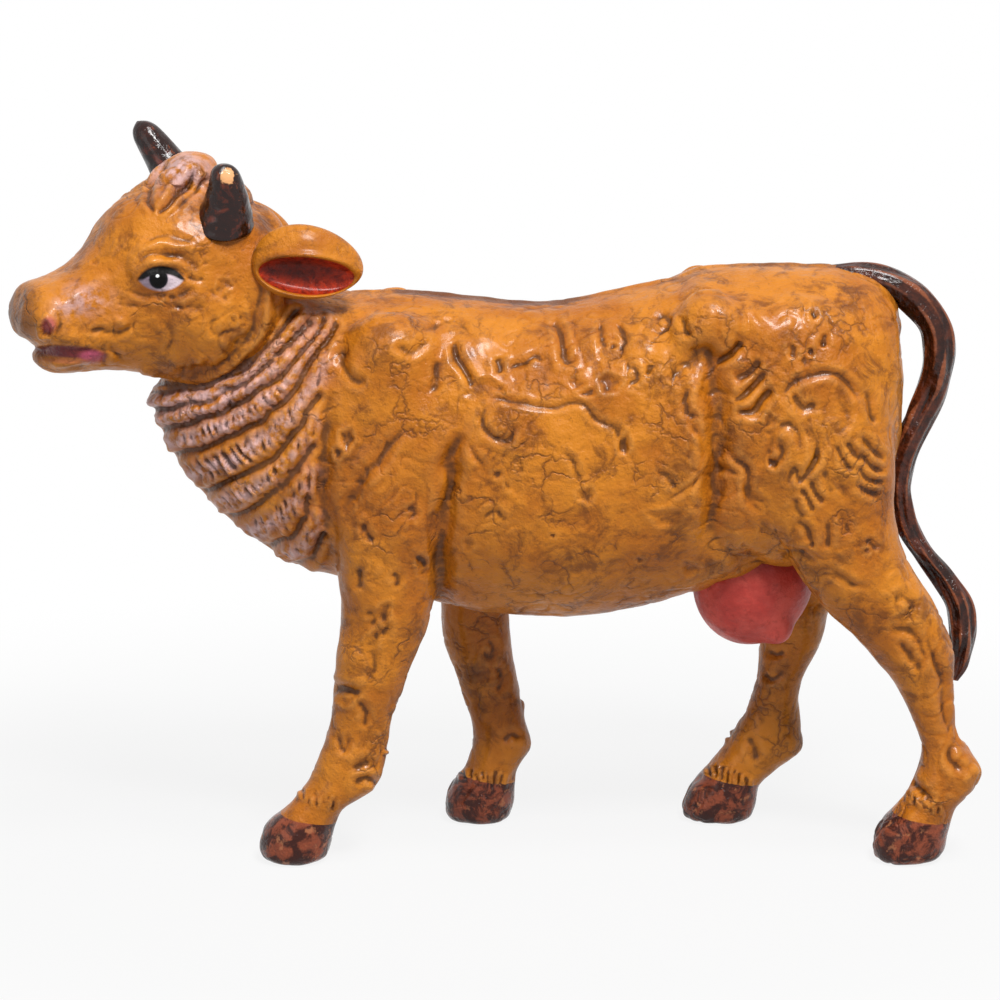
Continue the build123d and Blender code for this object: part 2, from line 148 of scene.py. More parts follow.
def outwardNormals(ob):
    pick(ob)
    bpy.ops.object.mode_set(mode="EDIT")
    bpy.ops.mesh.select_all(action="SELECT")
    bpy.ops.mesh.normals_make_consistent(inside=False)
    bpy.ops.object.mode_set(mode="OBJECT")


def refine(ob):
    # one round of subdivision, applied
    pick(ob)
    finer = ob.modifiers.new("finer", "SUBSURF")
    finer.levels = finer.render_levels = 1
    bpy.ops.object.modifier_apply(modifier="finer")


def mergeClay(name, parts, voxel, ease):
    # join the masses, remesh them as one skin, ease the joints, then refine once
    bpy.ops.object.select_all(action="DESELECT")
    for part in parts:
        part.select_set(True)
    bpy.context.view_layer.objects.active = parts[0]
    bpy.ops.object.join()
    ob = bpy.context.object
    ob.name = name
    remesh = ob.modifiers.new("skin", "REMESH")
    remesh.mode = "VOXEL"
    remesh.voxel_size = voxel
    bpy.ops.object.modifier_apply(modifier="skin")
    soften = ob.modifiers.new("ease", "SMOOTH")
    soften.factor = 0.5
    soften.iterations = ease
    bpy.ops.object.modifier_apply(modifier="ease")
    refine(ob)
    return ob


def readMesh(ob):
    mesh = ob.data
    co = np.empty(len(mesh.vertices) * 3)
    no = np.empty(len(mesh.vertices) * 3)
    mesh.vertices.foreach_get("co", co)
    mesh.vertices.foreach_get("normal", no)
    return co.reshape(-1, 3), no.reshape(-1, 3)


def writeMesh(ob, co):
    ob.data.vertices.foreach_set("co", co.ravel())
    ob.data.update()


def storeMark(ob, name, values):
    layer = ob.data.attributes.new(name, "FLOAT", "POINT")
    layer.data.foreach_set("value", np.asarray(values, np.float32))


def hollows(ob, co, no, rounds):
    # how far each point lies under its neighbours' mean, in mm: hollows are positive
    edges = np.empty(len(ob.data.edges) * 2, int)
    ob.data.edges.foreach_get("vertices", edges)
    a, b = edges.reshape(-1, 2).T
    count = np.bincount(np.concatenate([a, b]), minlength=len(co)).clip(1)

    def mean(v):
        return (np.bincount(a, v[b], len(co)) + np.bincount(b, v[a], len(co))) / count

    dip = sum((mean(co[:, i]) - co[:, i]) * no[:, i] for i in range(3))
    for _ in range(rounds):
        dip = 0.5 * dip + 0.5 * mean(dip)
    return dip


def lineField(spots, line, reach):
    # distance to a drawn line and the share of the way along it, for the spots close to it
    line = np.array(line, float)
    low, high = line.min(0) - reach, line.max(0) + reach
    near = np.nonzero(np.all((spots >= low) & (spots <= high), axis=1))[0]
    p = spots[near]
    best = np.full(len(near), 1e9)
    along = np.zeros(len(near))
    lengths = np.hypot(*(line[1:] - line[:-1]).T)
    total, run = max(lengths.sum(), 1e-6), 0.0
    for start, end, length in zip(line[:-1], line[1:], lengths):
        step = end - start
        t = np.clip((p - start) @ step / max(length ** 2, 1e-9), 0, 1)
        d = np.hypot(*(p - start - t[:, None] * step).T)
        closer = d < best
        best[closer] = d[closer]
        along[closer] = (run + t[closer] * length) / total
        run += length
    return near, best, along


class Tool:
    # carries the carving of one skin: what is cut in, and where the dark wash and the painted shade of its
    # hollows settle
    def __init__(self, ob, mirrored):
        self.ob = ob
        self.co, self.no = readMesh(ob)
        self.cut = np.zeros(len(self.co))
        self.washAndShade = np.zeros(len(self.co))
        self.patch = np.zeros(len(self.co))
        self.sheen = np.zeros(len(self.co))
        elev = math.radians(viewSetup["elevation"])
        back = np.array([0, -math.cos(elev), math.sin(elev)])
        self.sides = []
        for co, no in ((self.co, self.no), mirrored(self.co, self.no)):
            facing = np.clip((no @ back) * 5, 0, 1)
            spots = sideView(co)
            u, v = spots.T
            wander = [np.sin(v / 7.3 + 3 * np.sin(u / 23)), np.sin(u / 6.1 + 3 * np.sin(v / 19))]
            self.sides.append((spots + np.stack(wander, 1) * 1.3, facing))

    def groove(self, line, depth, width, lip=0.3, taper=True, washAndShade=0.3):
        for spots, facing in self.sides:
            near, d, along = lineField(spots, line, width * 4)
            ends = np.clip(np.minimum(along, 1 - along) * 5, 0, 1) ** 0.6 if taper else 1.0
            hollow = np.exp(-(d / width) ** 2) - lip * np.exp(-((d - 2 * width) / width) ** 2)
            self.cut[near] -= depth * hollow * facing[near] * ends
            # the groove is darkened: part dark wash, part painted shade in the cut
            dark = washAndShade * np.exp(-(d / (width * 0.8)) ** 2) * facing[near] * ends
            self.washAndShade[near] = np.maximum(self.washAndShade[near], dark)

    def swell(self, spot, size, height, turn=0.0):
        c, s = math.cos(math.radians(turn)), math.sin(math.radians(turn))
        for spots, facing in self.sides:
            q = spots - np.array(spot)
            r = ((q[:, 0] * c + q[:, 1] * s) / size[0]) ** 2 + ((q[:, 1] * c - q[:, 0] * s) / size[1]) ** 2
            self.cut += height * np.exp(-r) * facing

    def pit(self, spot, size, depth, stain=0.5):
        for spots, facing in self.sides:
            q = (spots - np.array(spot)) / np.array(size)
            around = np.arctan2(q[:, 1], q[:, 0])
            ragged = 1 + 0.22 * np.sin(3 * around + spot[0]) + 0.14 * np.sin(5 * around + spot[1])
            r = (q ** 2).sum(1) * ragged
            ring = np.exp(-r ** 2)
            self.cut -= depth * (ring - 0.35 * np.exp(-(np.sqrt(r) - 1.5) ** 2 / 0.12)) * facing
            self.patch = np.maximum(self.patch, stain * ring * facing)

    def unevenness(self, steps, crumpled=0.0):
        # lumpy clay: fine noise in the surface itself, folded sharply where it is crumpled
        for size, height in steps:
            self.cut += height * np.array([noise.noise(Vector(p) / size) for p in self.co])
        folds = np.array([noise.noise(Vector(p) / 3.1 + Vector((5, 0, 0))) for p in self.co])
        where = np.array([noise.noise(Vector(p) / 11 + Vector((0, 9, 0))) for p in self.co])
        self.cut -= crumpled * np.exp(-(folds / 0.09) ** 2) * np.clip(where * 3 + 0.35, 0, 1)

    def stain(self, spot, size, strength):
        for spots, facing in self.sides:
            q = (spots - np.array(spot)) / np.array(size)
            self.patch = np.maximum(self.patch, strength * np.exp(-(q ** 2).sum(1) ** 1.5) * facing)

    def finish(self, roundsOfBlur=2, hollowScale=0.035):
        co = self.co + self.no * self.cut[:, None]
        writeMesh(self.ob, co)
        co, no = readMesh(self.ob)
        dip = hollows(self.ob, co, no, roundsOfBlur)
        # hollows are darkened further as painted shade, on top of the dark wash
        storeMark(self.ob, "washAndShade", np.clip(self.washAndShade + 0.6 * dip / hollowScale, 0, 1))
        # ridges get a lighter paint: part rubbed wear, part painted highlight
        storeMark(self.ob, "wearAndHighlight", np.clip(-dip / hollowScale, 0, 1))
        storeMark(self.ob, "patch", np.clip(self.patch, 0, 1))
        storeMark(self.ob, "sheen", np.clip(self.sheen, 0, 1))


# body: trunk, neck and legs as one skin, carved, then cut into its mouldings
trunk = {
    # top x, top z, bottom x, bottom z, half width, from the rump to the neck's end
    "rows": [
        (53.9, 70.6, 53.9, 56.0, 5.4),
        (52.0, 76.3, 52.0, 48.4, 10.6),
        (45.6, 79.1, 45.6, 41.2, 13.9),
        (32.5, 79.3, 32.5, 36.9, 15.9),
        (19.0, 76.6, 19.0, 33.3, 16.6),
        (8.9, 74.7, 8.9, 31.9, 17.0),
        (-1.2, 74.7, -1.2, 32.4, 16.6),
        (-11.3, 76.0, -11.3, 34.8, 15.2),
        (-18.0, 76.0, -19.6, 37.2, 14.4),
        (-22.6, 76.1, -27.8, 39.2, 13.8),
        (-24.6, 77.6, -34.2, 43.4, 12.8),
        (-26.5, 79.2, -39.7, 48.8, 11.4),
        (-28.4, 80.6, -44.2, 55.2, 10.0),
        (-30.4, 81.6, -47.2, 62.6, 8.6),
    ],
    "voxel": 0.625, "ease": 10,
}
legs = {
    # height, front x, rear x, distance from the middle, half width
    "front_left_leg": [
        (68, -18.5, -9.0, 6.4, 4.0), (60, -21.5, -5.0, 8.0, 6.2), (50, -22.2, -6.0, 9.0, 6.6),
        (42, -21.6, -8.0, 9.6, 6.0),
        (35, -21.0, -8.8, 9.8, 5.2), (29.5, -21.6, -10.6, 9.8, 4.8), (25, -22.0, -12.5, 9.8, 4.4),
        (19, -22.6, -14.5, 9.8, 3.4),
        (13, -24.6, -15.4, 9.8, 3.8), (10.4, -26.0, -16.5, 9.8, 4.0), (8.6, -27.6, -18.8, 9.8, 3.8),
        (7.2, -29.0, -20.8, 9.8, 3.9),
        (5.6, -31.2, -21.6, 9.8, 4.4), (3.6, -32.4, -22.2, 9.8, 4.7), (1.6, -32.6, -22.6, 9.8, 4.7),
        (0.5, -32.2, -23.0, 9.8, 4.4),
        (0, -31.4, -23.8, 9.8, 3.8)],
    "front_right_leg": [
        (68, -15.0, -6.0, 6.4, 4.0), (60, -19.0, -3.0, 8.0, 6.2), (50, -17.5, -2.0, 9.0, 6.4),
        (42, -13.0, -0.4, 9.6, 5.6),
        (35, -8.8, 1.2, 9.8, 5.0), (29.5, -8.2, 1.4, 9.8, 4.6), (25, -7.7, 1.6, 9.8, 4.3),
        (19, -5.4, 2.7, 9.8, 3.4),
        (13, -3.7, 4.1, 9.8, 3.8), (10.4, -4.0, 4.6, 9.8, 3.9), (8.6, -4.4, 3.4, 9.8, 3.7),
        (7.0, -4.8, 2.4, 9.8, 3.8),
        (5.4, -6.2, 2.2, 9.8, 4.3), (3.4, -7.2, 2.0, 9.8, 4.6), (1.6, -7.6, 1.8, 9.8, 4.6),
        (0.5, -7.2, 1.6, 9.8, 4.3), (0, -6.4, 1.0, 9.8, 3.8)],
    "rear_left_leg": [
        (74, 32.0, 46.0, 7.0, 4.0), (66, 29.5, 51.5, 8.6, 6.4), (56, 30.0, 52.5, 9.4, 7.2),
        (48, 33.6, 52.6, 9.6, 6.8),
        (41, 39.0, 54.4, 9.8, 6.0), (35, 43.2, 58.4, 9.8, 5.2), (29.5, 48.4, 60.8, 9.8, 4.6),
        (24, 53.2, 60.8, 9.8, 3.7),
        (18.5, 55.8, 61.3, 9.8, 3.3), (15.6, 56.5, 63.2, 9.8, 3.5), (12.9, 56.3, 64.9, 9.8, 3.8),
        (10.2, 55.4, 64.4, 9.8, 3.9),
        (7.8, 53.8, 61.6, 9.8, 3.9), (5.4, 51.4, 60.8, 9.8, 4.4), (3.4, 50.4, 60.4, 9.8, 4.6),
        (1.6, 50.2, 60.2, 9.8, 4.6),
        (0.5, 50.6, 59.8, 9.8, 4.3), (0, 51.4, 59.0, 9.8, 3.8)],
    "rear_right_leg": [
        (74, 32.0, 46.0, 7.0, 4.0), (66, 29.5, 51.0, 8.6, 6.4), (56, 30.0, 51.5, 9.4, 7.0),
        (48, 32.0, 51.0, 9.6, 6.6),
        (41, 34.6, 50.0, 9.8, 5.8), (35, 36.4, 47.6, 9.8, 5.0), (29.5, 36.4, 45.4, 9.8, 4.5),
        (24.6, 36.0, 44.2, 9.8, 4.0),
        (18.9, 35.2, 41.4, 9.8, 3.4), (13.2, 33.0, 41.7, 9.8, 3.7), (10.4, 31.2, 42.4, 9.8, 3.9),
        (8.4, 29.6, 40.0, 9.8, 3.8),
        (6.8, 28.2, 38.0, 9.8, 4.0), (5.2, 26.6, 36.4, 9.8, 4.4), (3.2, 25.6, 36.0, 9.8, 4.6),
        (1.6, 25.2, 35.6, 9.8, 4.6),
        (0.5, 25.6, 35.2, 9.8, 4.3), (0, 26.4, 34.4, 9.8, 3.8)],
}
# lines below are drawn on the side view: depth in mm, width on the view, then the points
neckFolds = [
    [(150, 392), (185, 393), (215, 386), (245, 368), (272, 340), (296, 312)],
    [(158, 410), (212, 398), (249, 380), (285, 350), (312, 322)],
    [(163, 430), (212, 416), (249, 398), (283, 374), (324, 322)],
    [(178, 455), (216, 444), (258, 422), (294, 391), (335, 326)],
    [(203, 491), (239, 478), (272, 458), (300, 427), (318, 396)],
    [(226, 519), (258, 506), (285, 483), (303, 462), (312, 446)],
    [(258, 551), (288, 540), (306, 517), (309, 500)],
    [(292, 569), (313, 556), (323, 538)],
]
jawShadeGroove = [(272, 290), (272, 314), (258, 347), (236, 369), (204, 383), (172, 386), (143, 376)]
# middle on the side view, slope, width
hoofHair = [((318, 801), 0.35, 34), ((484, 778), 0.12, 40), ((728, 776), 0.3, 44), ((920, 802), 0.4, 36)]
bodyLines = [
    # foreleg, shoulder and chest
    (0.9, 7, [(462, 432), (449, 460), (446, 498), (439, 530), (440, 566), (442, 600)]),
    (0.6, 9, [(332, 392), (322, 440), (318, 480), (325, 530), (334, 575)]),
    (0.45, 5, [(403, 428), (385, 452), (360, 484), (344, 514)]),
    (0.5, 5, [(343, 345), (345, 366), (356, 379), (368, 380)]),
    (0.35, 4, [(395, 346), (412, 352), (430, 338)]),
    (0.4, 4, [(436, 360), (438, 378), (432, 392)]),
    (0.3, 4, [(420, 330), (455, 322), (470, 335)]),
    (0.5, 4, [(360, 566), (358, 580), (359, 591)]),
    (0.35, 3.5, [(363, 521), (368, 532), (374, 540)]),
    (0.3, 3.5, [(392, 570), (399, 579), (397, 588)]),
    (0.35, 3.5, [(409, 557), (421, 558), (425, 568), (417, 575)]),
    (0.3, 3.5, [(405, 507), (412, 513), (407, 518)]),
    (0.3, 3.5, [(381, 613), (388, 624), (384, 633), (377, 637), (380, 646)]),
    (0.3, 3.5, [(366, 610), (377, 618), (371, 627)]),
    # flank
    (0.7, 4, [(453, 342), (458, 356), (465, 371), (472, 384)]),
    (0.4, 3.5, [(497, 356), (500, 366), (502, 374)]),
    (0.4, 3.5, [(506, 366), (524, 361), (537, 355), (543, 364)]),
    (0.55, 4, [(551, 320), (559, 332), (564, 346), (566, 360), (577, 361)]),
    (0.3, 3, [(462, 404), (482, 398), (520, 402), (540, 408), (582, 404), (597, 420), (614, 427),
                  (625, 447), (639, 466)]),
    (0.35, 3.5, [(487, 404), (482, 424), (494, 438), (511, 437), (518, 424)]),
    (0.35, 3.5, [(602, 325), (600, 338), (606, 348)]),
    (0.35, 3, [(618, 322), (624, 340), (620, 352)]),
    (0.35, 3.5, [(625, 366), (636, 368), (636, 380), (626, 382)]),
    (0.35, 3, [(651, 318), (661, 314), (668, 322), (662, 331), (653, 330)]),
    (0.4, 3.5, [(651, 365), (649, 377)]),
    (0.35, 3.5, [(686, 384), (688, 415), (695, 428), (706, 438)]),
    (0.3, 3, [(657, 470), (668, 478), (680, 488)]),
    (0.3, 3, [(664, 500), (684, 490), (702, 478)]),
    (0.25, 3, [(470, 440), (478, 458), (486, 470)]),
    (0.25, 3, [(480, 520), (496, 512), (508, 520)]),
    (0.25, 3, [(560, 452), (574, 462), (580, 480)]),
    # stifle fold and haunch
    (1.1, 10, [(702, 356), (715, 382), (722, 417), (720, 463), (716, 498), (712, 534), (704, 566)]),
    (0.9, 9, [(668, 380), (686, 365), (704, 354), (716, 366)]),
    (0.4, 4, [(685, 318), (684, 330), (690, 338)]),
    (0.75, 4.2, [(716, 362), (730, 354), (740, 341)]),
    (0.75, 4.2, [(735, 378), (750, 371), (761, 358)]),
    (0.75, 4.2, [(733, 401), (750, 389), (764, 371)]),
    (0.75, 4.2, [(737, 413), (757, 408), (771, 388)]),
    (0.5, 3.5, [(793, 345), (791, 357)]),
    (0.5, 3.5, [(824, 333), (825, 349)]),
    (0.35, 3.5, [(812, 310), (816, 318)]),
    (0.45, 3.5, [(777, 394), (800, 381), (823, 372), (849, 383), (861, 398)]),
    (0.45, 3.5, [(790, 394), (803, 409), (818, 402)]),
    (0.55, 4, [(866, 391), (870, 406), (878, 422)]),
    (0.45, 3.5, [(779, 440), (783, 452), (777, 462), (768, 458)]),
    (0.5, 3.5, [(784, 484), (796, 470), (802, 480), (812, 464), (818, 446)]),
    (0.45, 3.5, [(810, 480), (816, 492), (824, 503)]),
    (0.45, 3.5, [(800, 488), (808, 500), (812, 512)]),
    (0.45, 3.5, [(794, 498), (798, 510), (806, 520)]),
    (0.5, 3.5, [(838, 444), (842, 458), (850, 470)]),
    (0.5, 3.5, [(848, 440), (852, 452), (859, 462)]),
    (0.55, 3.5, [(862, 436), (870, 450), (886, 458)]),
    (0.55, 3.5, [(858, 450), (868, 464), (884, 471)]),
    (0.55, 3.5, [(858, 466), (868, 478), (884, 485)]),
    (0.55, 3.5, [(859, 482), (868, 492), (881, 497)]),
    (0.45, 3.5, [(728, 450), (745, 468), (752, 492), (769, 508)]),
    (0.4, 3.5, [(742, 478), (750, 500), (762, 512)]),
    (0.35, 3.5, [(716, 474), (728, 469), (738, 478)]),
    (0.4, 3.5, [(796, 520), (808, 530), (812, 546)]),
    (0.35, 3.5, [(826, 520), (830, 536), (826, 550)]),
    (0.45, 4, [(865, 538), (873, 545), (878, 550)]),
    (0.35, 3.5, [(780, 556), (800, 552), (816, 562)]),
    (0.35, 3.5, [(830, 572), (846, 578), (856, 590)]),
    (0.6, 7, [(712, 540), (746, 560), (781, 580), (818, 610)]),
    (0.26, 4.2, [(760, 424), (772, 436), (770, 452), (760, 462)]),
    (0.28, 4.2, [(772, 430), (788, 424), (800, 434), (798, 452)]),
    (0.28, 4.2, [(806, 428), (818, 440), (816, 456), (806, 470)]),
    (0.24, 4.2, [(820, 470), (830, 482), (834, 496)]),
    (0.24, 4.2, [(834, 470), (842, 484), (846, 500)]),
    (0.24, 4.2, [(786, 506), (794, 520), (792, 536)]),
    (0.22, 4.2, [(756, 520), (770, 530), (786, 532)]),
    (0.22, 4.2, [(836, 512), (846, 522), (850, 536)]),
    (0.22, 4.2, [(838, 400), (846, 412), (844, 426), (834, 432)]),
    (0.22, 4.2, [(800, 356), (806, 366), (804, 376)]),
    # rear leg
    (0.4, 4, [(892, 604), (902, 596), (912, 604), (905, 616)]),
    (0.5, 5, [(890, 627), (906, 630), (921, 641), (926, 668)]),
    (0.55, 4.5, [(927, 618), (934, 652), (944, 690), (947, 720), (957, 746)]),
    (0.35, 3.5, [(908, 648), (914, 660), (922, 672)]),
    (0.35, 3.5, [(900, 640), (906, 654), (912, 664)]),
    (0.5, 4, [(954, 742), (951, 760), (966, 773)]),
    (0.5, 4, [(906, 776), (922, 790), (933, 800)]),
    (0.45, 4, [(747, 735), (752, 748), (757, 762)]),
    (0.4, 3.5, [(765, 652), (776, 656), (786, 650)]),
    (0.4, 3.5, [(764, 672), (773, 678), (784, 672)]),
    # front leg
    (0.8, 5, [(332, 690), (350, 690), (362, 695)]),
    (0.35, 4, [(362, 640), (372, 650), (376, 668), (366, 682)]),
    (0.35, 3.5, [(338, 735), (343, 750), (352, 735)]),
    (0.35, 3.5, [(358, 700), (366, 712), (362, 726)]),
    (0.45, 4, [(352, 771), (364, 762), (376, 770)]),
    (0.45, 4, [(356, 786), (366, 778), (378, 786)]),
    (0.4, 3.5, [(488, 640), (494, 648), (488, 656), (482, 648)]),
    (0.4, 3.5, [(496, 664), (502, 680), (498, 694)]),
    (0.4, 3.5, [(504, 742), (512, 734), (522, 740)]),
]
bodyLumps = [
    # spot and size on the side view, height in mm, turn
    ((385, 345), (34, 24), 0.9, 0), ((748, 322), (34, 22), 0.8, 15), ((712, 440), (11, 80), -0.9, 0),
    ((326, 470), (9, 70), -0.5, 0),
    ((452, 500), (9, 70), -0.7, 5), ((410, 460), (26, 40), 0.5, 25), ((400, 520), (30, 20), 0.4, 0),
    ((352, 372), (12, 10), 0.4, 0), ((380, 470), (34, 46), 0.7, -20), ((412, 545), (24, 22), 0.6, 0),
    ((372, 600), (22, 26), 0.4, 0), ((354, 660), (17, 18), 0.5, 0), ((704, 302), (20, 26), 1.1, 0),
    ((742, 318), (30, 22), 0.5, 0),
    ((780, 440), (34, 60), 0.7, -10), ((855, 460), (22, 60), 0.4, 0), ((760, 520), (32, 26), 0.5, 20),
    ((902, 600), (14, 14), 0.5, 0),
    ((560, 540), (80, 50), 0.5, 0), ((500, 420), (26, 20), 0.35, 0), ((600, 400), (30, 20), 0.3, 0),
    ((690, 470), (16, 40), 0.5, 0),
    ((480, 340), (16, 12), 0.35, 0), ((526, 342), (16, 10), 0.3, 0), ((590, 340), (16, 12), 0.3, 0),
    ((640, 350), (16, 14), 0.3, 0),
    ((371, 768), (5, 5), 0.5, 0), ((369, 785), (5, 5), 0.5, 0), ((976, 770), (7, 8), 0.4, 0),
    ((966, 778), (6, 6), 0.4, 0),
    ((522, 745), (8, 8), 0.4, 0), ((793, 745), (8, 8), 0.4, 0),
]
bodyPits = [
    # spot and size on the side view, depth in mm
    ((346, 438), (6, 8), 0.5), ((339, 454), (4, 5), 0.35), ((482, 388), (16, 8), 0.35),
    ((609, 384), (9, 8), 0.45), ((586, 495), (8, 6), 0.35),
    ((625, 445), (5, 8), 0.4), ((666, 516), (13, 7), 0.3), ((614, 345), (4, 3), 0.3),
    ((587, 392), (7, 4), 0.3), ((578, 384), (6, 5), 0.2),
    ((497, 474), (5, 4), 0.25), ((507, 486), (3, 4), 0.2), ((554, 535), (2.5, 2.5), 0.25),
    ((470, 545), (5, 5), 0.2), ((640, 560), (4, 3), 0.2),
    ((690, 568), (8, 5), 0.25), ((520, 470), (3, 3), 0.15), ((694, 416), (4, 4), 0.25),
    ((770, 420), (6, 5), 0.3), ((774, 462), (5, 6), 0.3),
    ((812, 352), (3, 5), 0.3), ((867, 552), (4, 3), 0.25), ((812, 545), (3, 2.5), 0.25),
    ((745, 546), (4, 3), 0.2), ((905, 618), (10, 5), 0.25),
    ((372, 640), (6, 6), 0.25), ((384, 612), (5, 8), 0.3), ((420, 562), (6, 6), 0.3),
    ((346, 700), (8, 4), 0.3), ((385, 752), (2.5, 2.5), -0.5),
]


def mirrorBody(co, no):
    flip = np.array([1, -1, 1])
    return co * flip, no * flip


def makeBodySkin():
    rings = []
    for tx, tz, bx, bz, half in smoothRows(trunk["rows"], 5):
        top, bottom = np.array([tx, 0, tz]), np.array([bx, 0, bz])
        rings.append(roundedRing((top + bottom) / 2, (top - bottom) / 2, (0, half, 0), 72))
    parts = [tubeThrough("bodySkin", rings)]
    for name, rows in legs.items():
        side = -1 if "left" in name else 1
        rings = []
        for z, front, rear, out, half in smoothRows(rows, 4):
            middle = ((front + rear) / 2, side * out, z)
            rings.append(roundedRing(middle, ((rear - front) / 2, 0, 0), (0, half, 0), 40, 2.15))
        parts.append(tubeThrough(name, rings))
    for side in (-1, 1):
        parts.append(lump((39, side * 9.0, 63), (12.5, 7.0, 14)))  # haunch
        parts.append(lump((27.5, side * 10.4, 71.5), (5.5, 4.0, 5.0)))  # hip
        parts.append(lump((-14, side * 9.4, 62), (9, 5.6, 13)))  # shoulder
    return mergeClay("bodySkin", parts, trunk["voxel"], trunk["ease"])


def carveBody(ob):
    tool = Tool(ob, mirrorBody)
    for spot, size, height, turn in bodyLumps:
        tool.swell(spot, size, height, turn)
    tool.unevenness([(9.0, 0.4), (4.2, 0.17), (1.9, 0.09)], 0.15)
    # neck folds: a roll between each pair of lines, with hair ticks across it; each roll gets a painted lilac
    # sheen highlight
    for line in neckFolds:
        tool.groove(line, 0.6, 4.0, lip=0.4, taper=False, washAndShade=0.28)
    for upper, lower in zip(neckFolds[:-1], neckFolds[1:]):
        a, b = smoothRows(upper, 8), smoothRows(lower, 8)
        a = a[np.linspace(0, len(a) - 1, 24).astype(int)]
        b = b[np.linspace(0, len(b) - 1, 24).astype(int)]
        for spots, facing in tool.sides:
            near, d, along = lineField(spots, (a + b) / 2, 16)
            roll = np.exp(-(d / 9) ** 2) * facing[near]
            tool.cut[near] += 0.3 * roll
            tool.sheen[near] = np.maximum(tool.sheen[near], roll * np.clip(1.3 - along, 0.25, 1))
        length = np.hypot(*(a[-1] - a[0]))
        count = int(length / 4.6)
        for i in range(count):
            f = (i + 0.5 + random.uniform(-0.25, 0.25)) / count * 23
            j = min(int(f), 22)
            top = a[j] + (a[j + 1] - a[j]) * (f - j)
            low = b[j] + (b[j + 1] - b[j]) * (f - j)
            lean = np.array([random.uniform(-2.5, 1.0), 0])
            start, end = random.uniform(0.12, 0.3), random.uniform(0.7, 0.95)
            fade = 1 - 0.65 * (f / 23) ** 2
            depth = random.uniform(0.22, 0.36) * fade
            width = random.uniform(1.8, 2.3)
            tool.groove([top + (low - top) * start + lean, top + (low - top) * end - lean],
                        depth, width, lip=0.5, washAndShade=0.12 * fade)
    for depth, width, line in bodyLines:
        line = smoothRows(line, 4) if len(line) > 2 else line
        tool.groove(line, depth * 0.95, width * 1.15, washAndShade=0.1 + 0.38 * depth if width < 6 else 0.22)
    for spot, size, depth in bodyPits:
        tool.pit(spot, size, depth)
    # groove under the jaw, darkened with painted shadow
    tool.groove(smoothRows(jawShadeGroove, 4), 0.9, 6, lip=0, taper=False, washAndShade=0.9)
    # knuckled hair over each hoof
    for spot, slope, wide in hoofHair:
        for i in range(7):
            u = spot[0] + (i - 3) * wide / 7
            v = spot[1] + (u - spot[0]) * slope + random.uniform(-2, 2)
            tool.groove([(u, v - 7), (u + random.uniform(-1, 1), v + 6)], 0.3, 2.0, lip=0.9, washAndShade=0.25)
    # worn ridge of the parting line along the back
    x, y, z = tool.co.T
    onBack = np.exp(-(y / 0.7) ** 2) * np.clip(tool.no[:, 2] * 3, 0, 1) * np.clip((x + 24) / 6, 0, 1)
    tool.cut += 0.28 * onBack
    stripe = np.exp(-(y / 2.4) ** 4) * np.clip((tool.no[:, 2] - 0.3) * 3, 0, 1)
    saddle = np.clip((x + 17) / 5, 0, 1) * np.clip((17 - x) / 9, 0, 1)
    tool.patch = np.maximum(tool.patch, 0.95 * stripe * saddle)
    tool.patch = np.maximum(tool.patch, 0.55 * stripe * np.clip((x - 26) / 5, 0, 1))
    # cloven toes
    for name, rows in legs.items():
        side = -1 if "left" in name else 1
        _, front, _, out, _ = rows[-3]
        cleft = np.clip((6.2 - z) / 1.5, 0, 1) * np.exp(-((y - side * out) / 0.55) ** 2)
        cleft *= np.clip(((front + 4.5) - x) / 2.5, 0, 1) * np.clip((x - front + 3) / 2, 0, 1)
        tool.cut -= 0.85 * cleft * np.clip(1 - abs(tool.no[:, 2]) * 1.2, 0, 1)
    tool.finish()
    x, y, z = readMesh(ob)[0].T
    hoof = np.zeros(len(z))
    for name, rows in legs.items():
        side = -1 if "left" in name else 1
        _, front, rear, out, _ = rows[-3]
        line = 7.3 - 0.17 * (x - front)
        mine = (np.abs(y - side * out) < 7) & (x > front - 4) & (x < rear + 6)
        hoof = np.where(mine, np.clip((line - z) / 0.5 + 0.5, 0, 1), hoof)
    storeMark(ob, "hoof", hoof)


def cutPiece(name, skin, planes, keep=None):
    # a copy of the skin, cut by planes (place, direction that is thrown away) and closed
    ob = skin.copy()
    ob.data = skin.data.copy()
    ob.name = ob.data.name = name
    bpy.context.collection.objects.link(ob)
    pick(ob)
    bpy.ops.object.mode_set(mode="EDIT")
    for place, away in planes:
        bpy.ops.mesh.select_all(action="SELECT")
        bpy.ops.mesh.bisect(plane_co=place, plane_no=away, use_fill=True, clear_outer=True, threshold=0.0001)
    bpy.ops.object.mode_set(mode="OBJECT")
    if keep:
        bm = bmesh.new()
        bm.from_mesh(ob.data)
        bmesh.ops.delete(bm, geom=[v for v in bm.verts if not keep(v.co)], context="VERTS")
        bm.to_mesh(ob.data)
        bm.free()
    return ob


def settle(ob, material, slot, *nodes):
    # to metres, smooth, painted, and in the place of its moulding
    ob.data.transform(Matrix.Scale(0.001, 4))
    ob.data.materials.clear()
    ob.data.materials.append(material)
    pick(ob)
    bpy.ops.object.shade_smooth_by_angle(angle=math.radians(55))
    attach(ob, "root")
    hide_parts(*nodes)


# paint
def paint(r, g, b):
    # a colour given as screen values, turned to linear
    return tuple(((c / 255 + 0.055) / 1.055) ** 2.4 if c > 10 else c / 255 / 12.92 for c in (r, g, b)) + (1,)


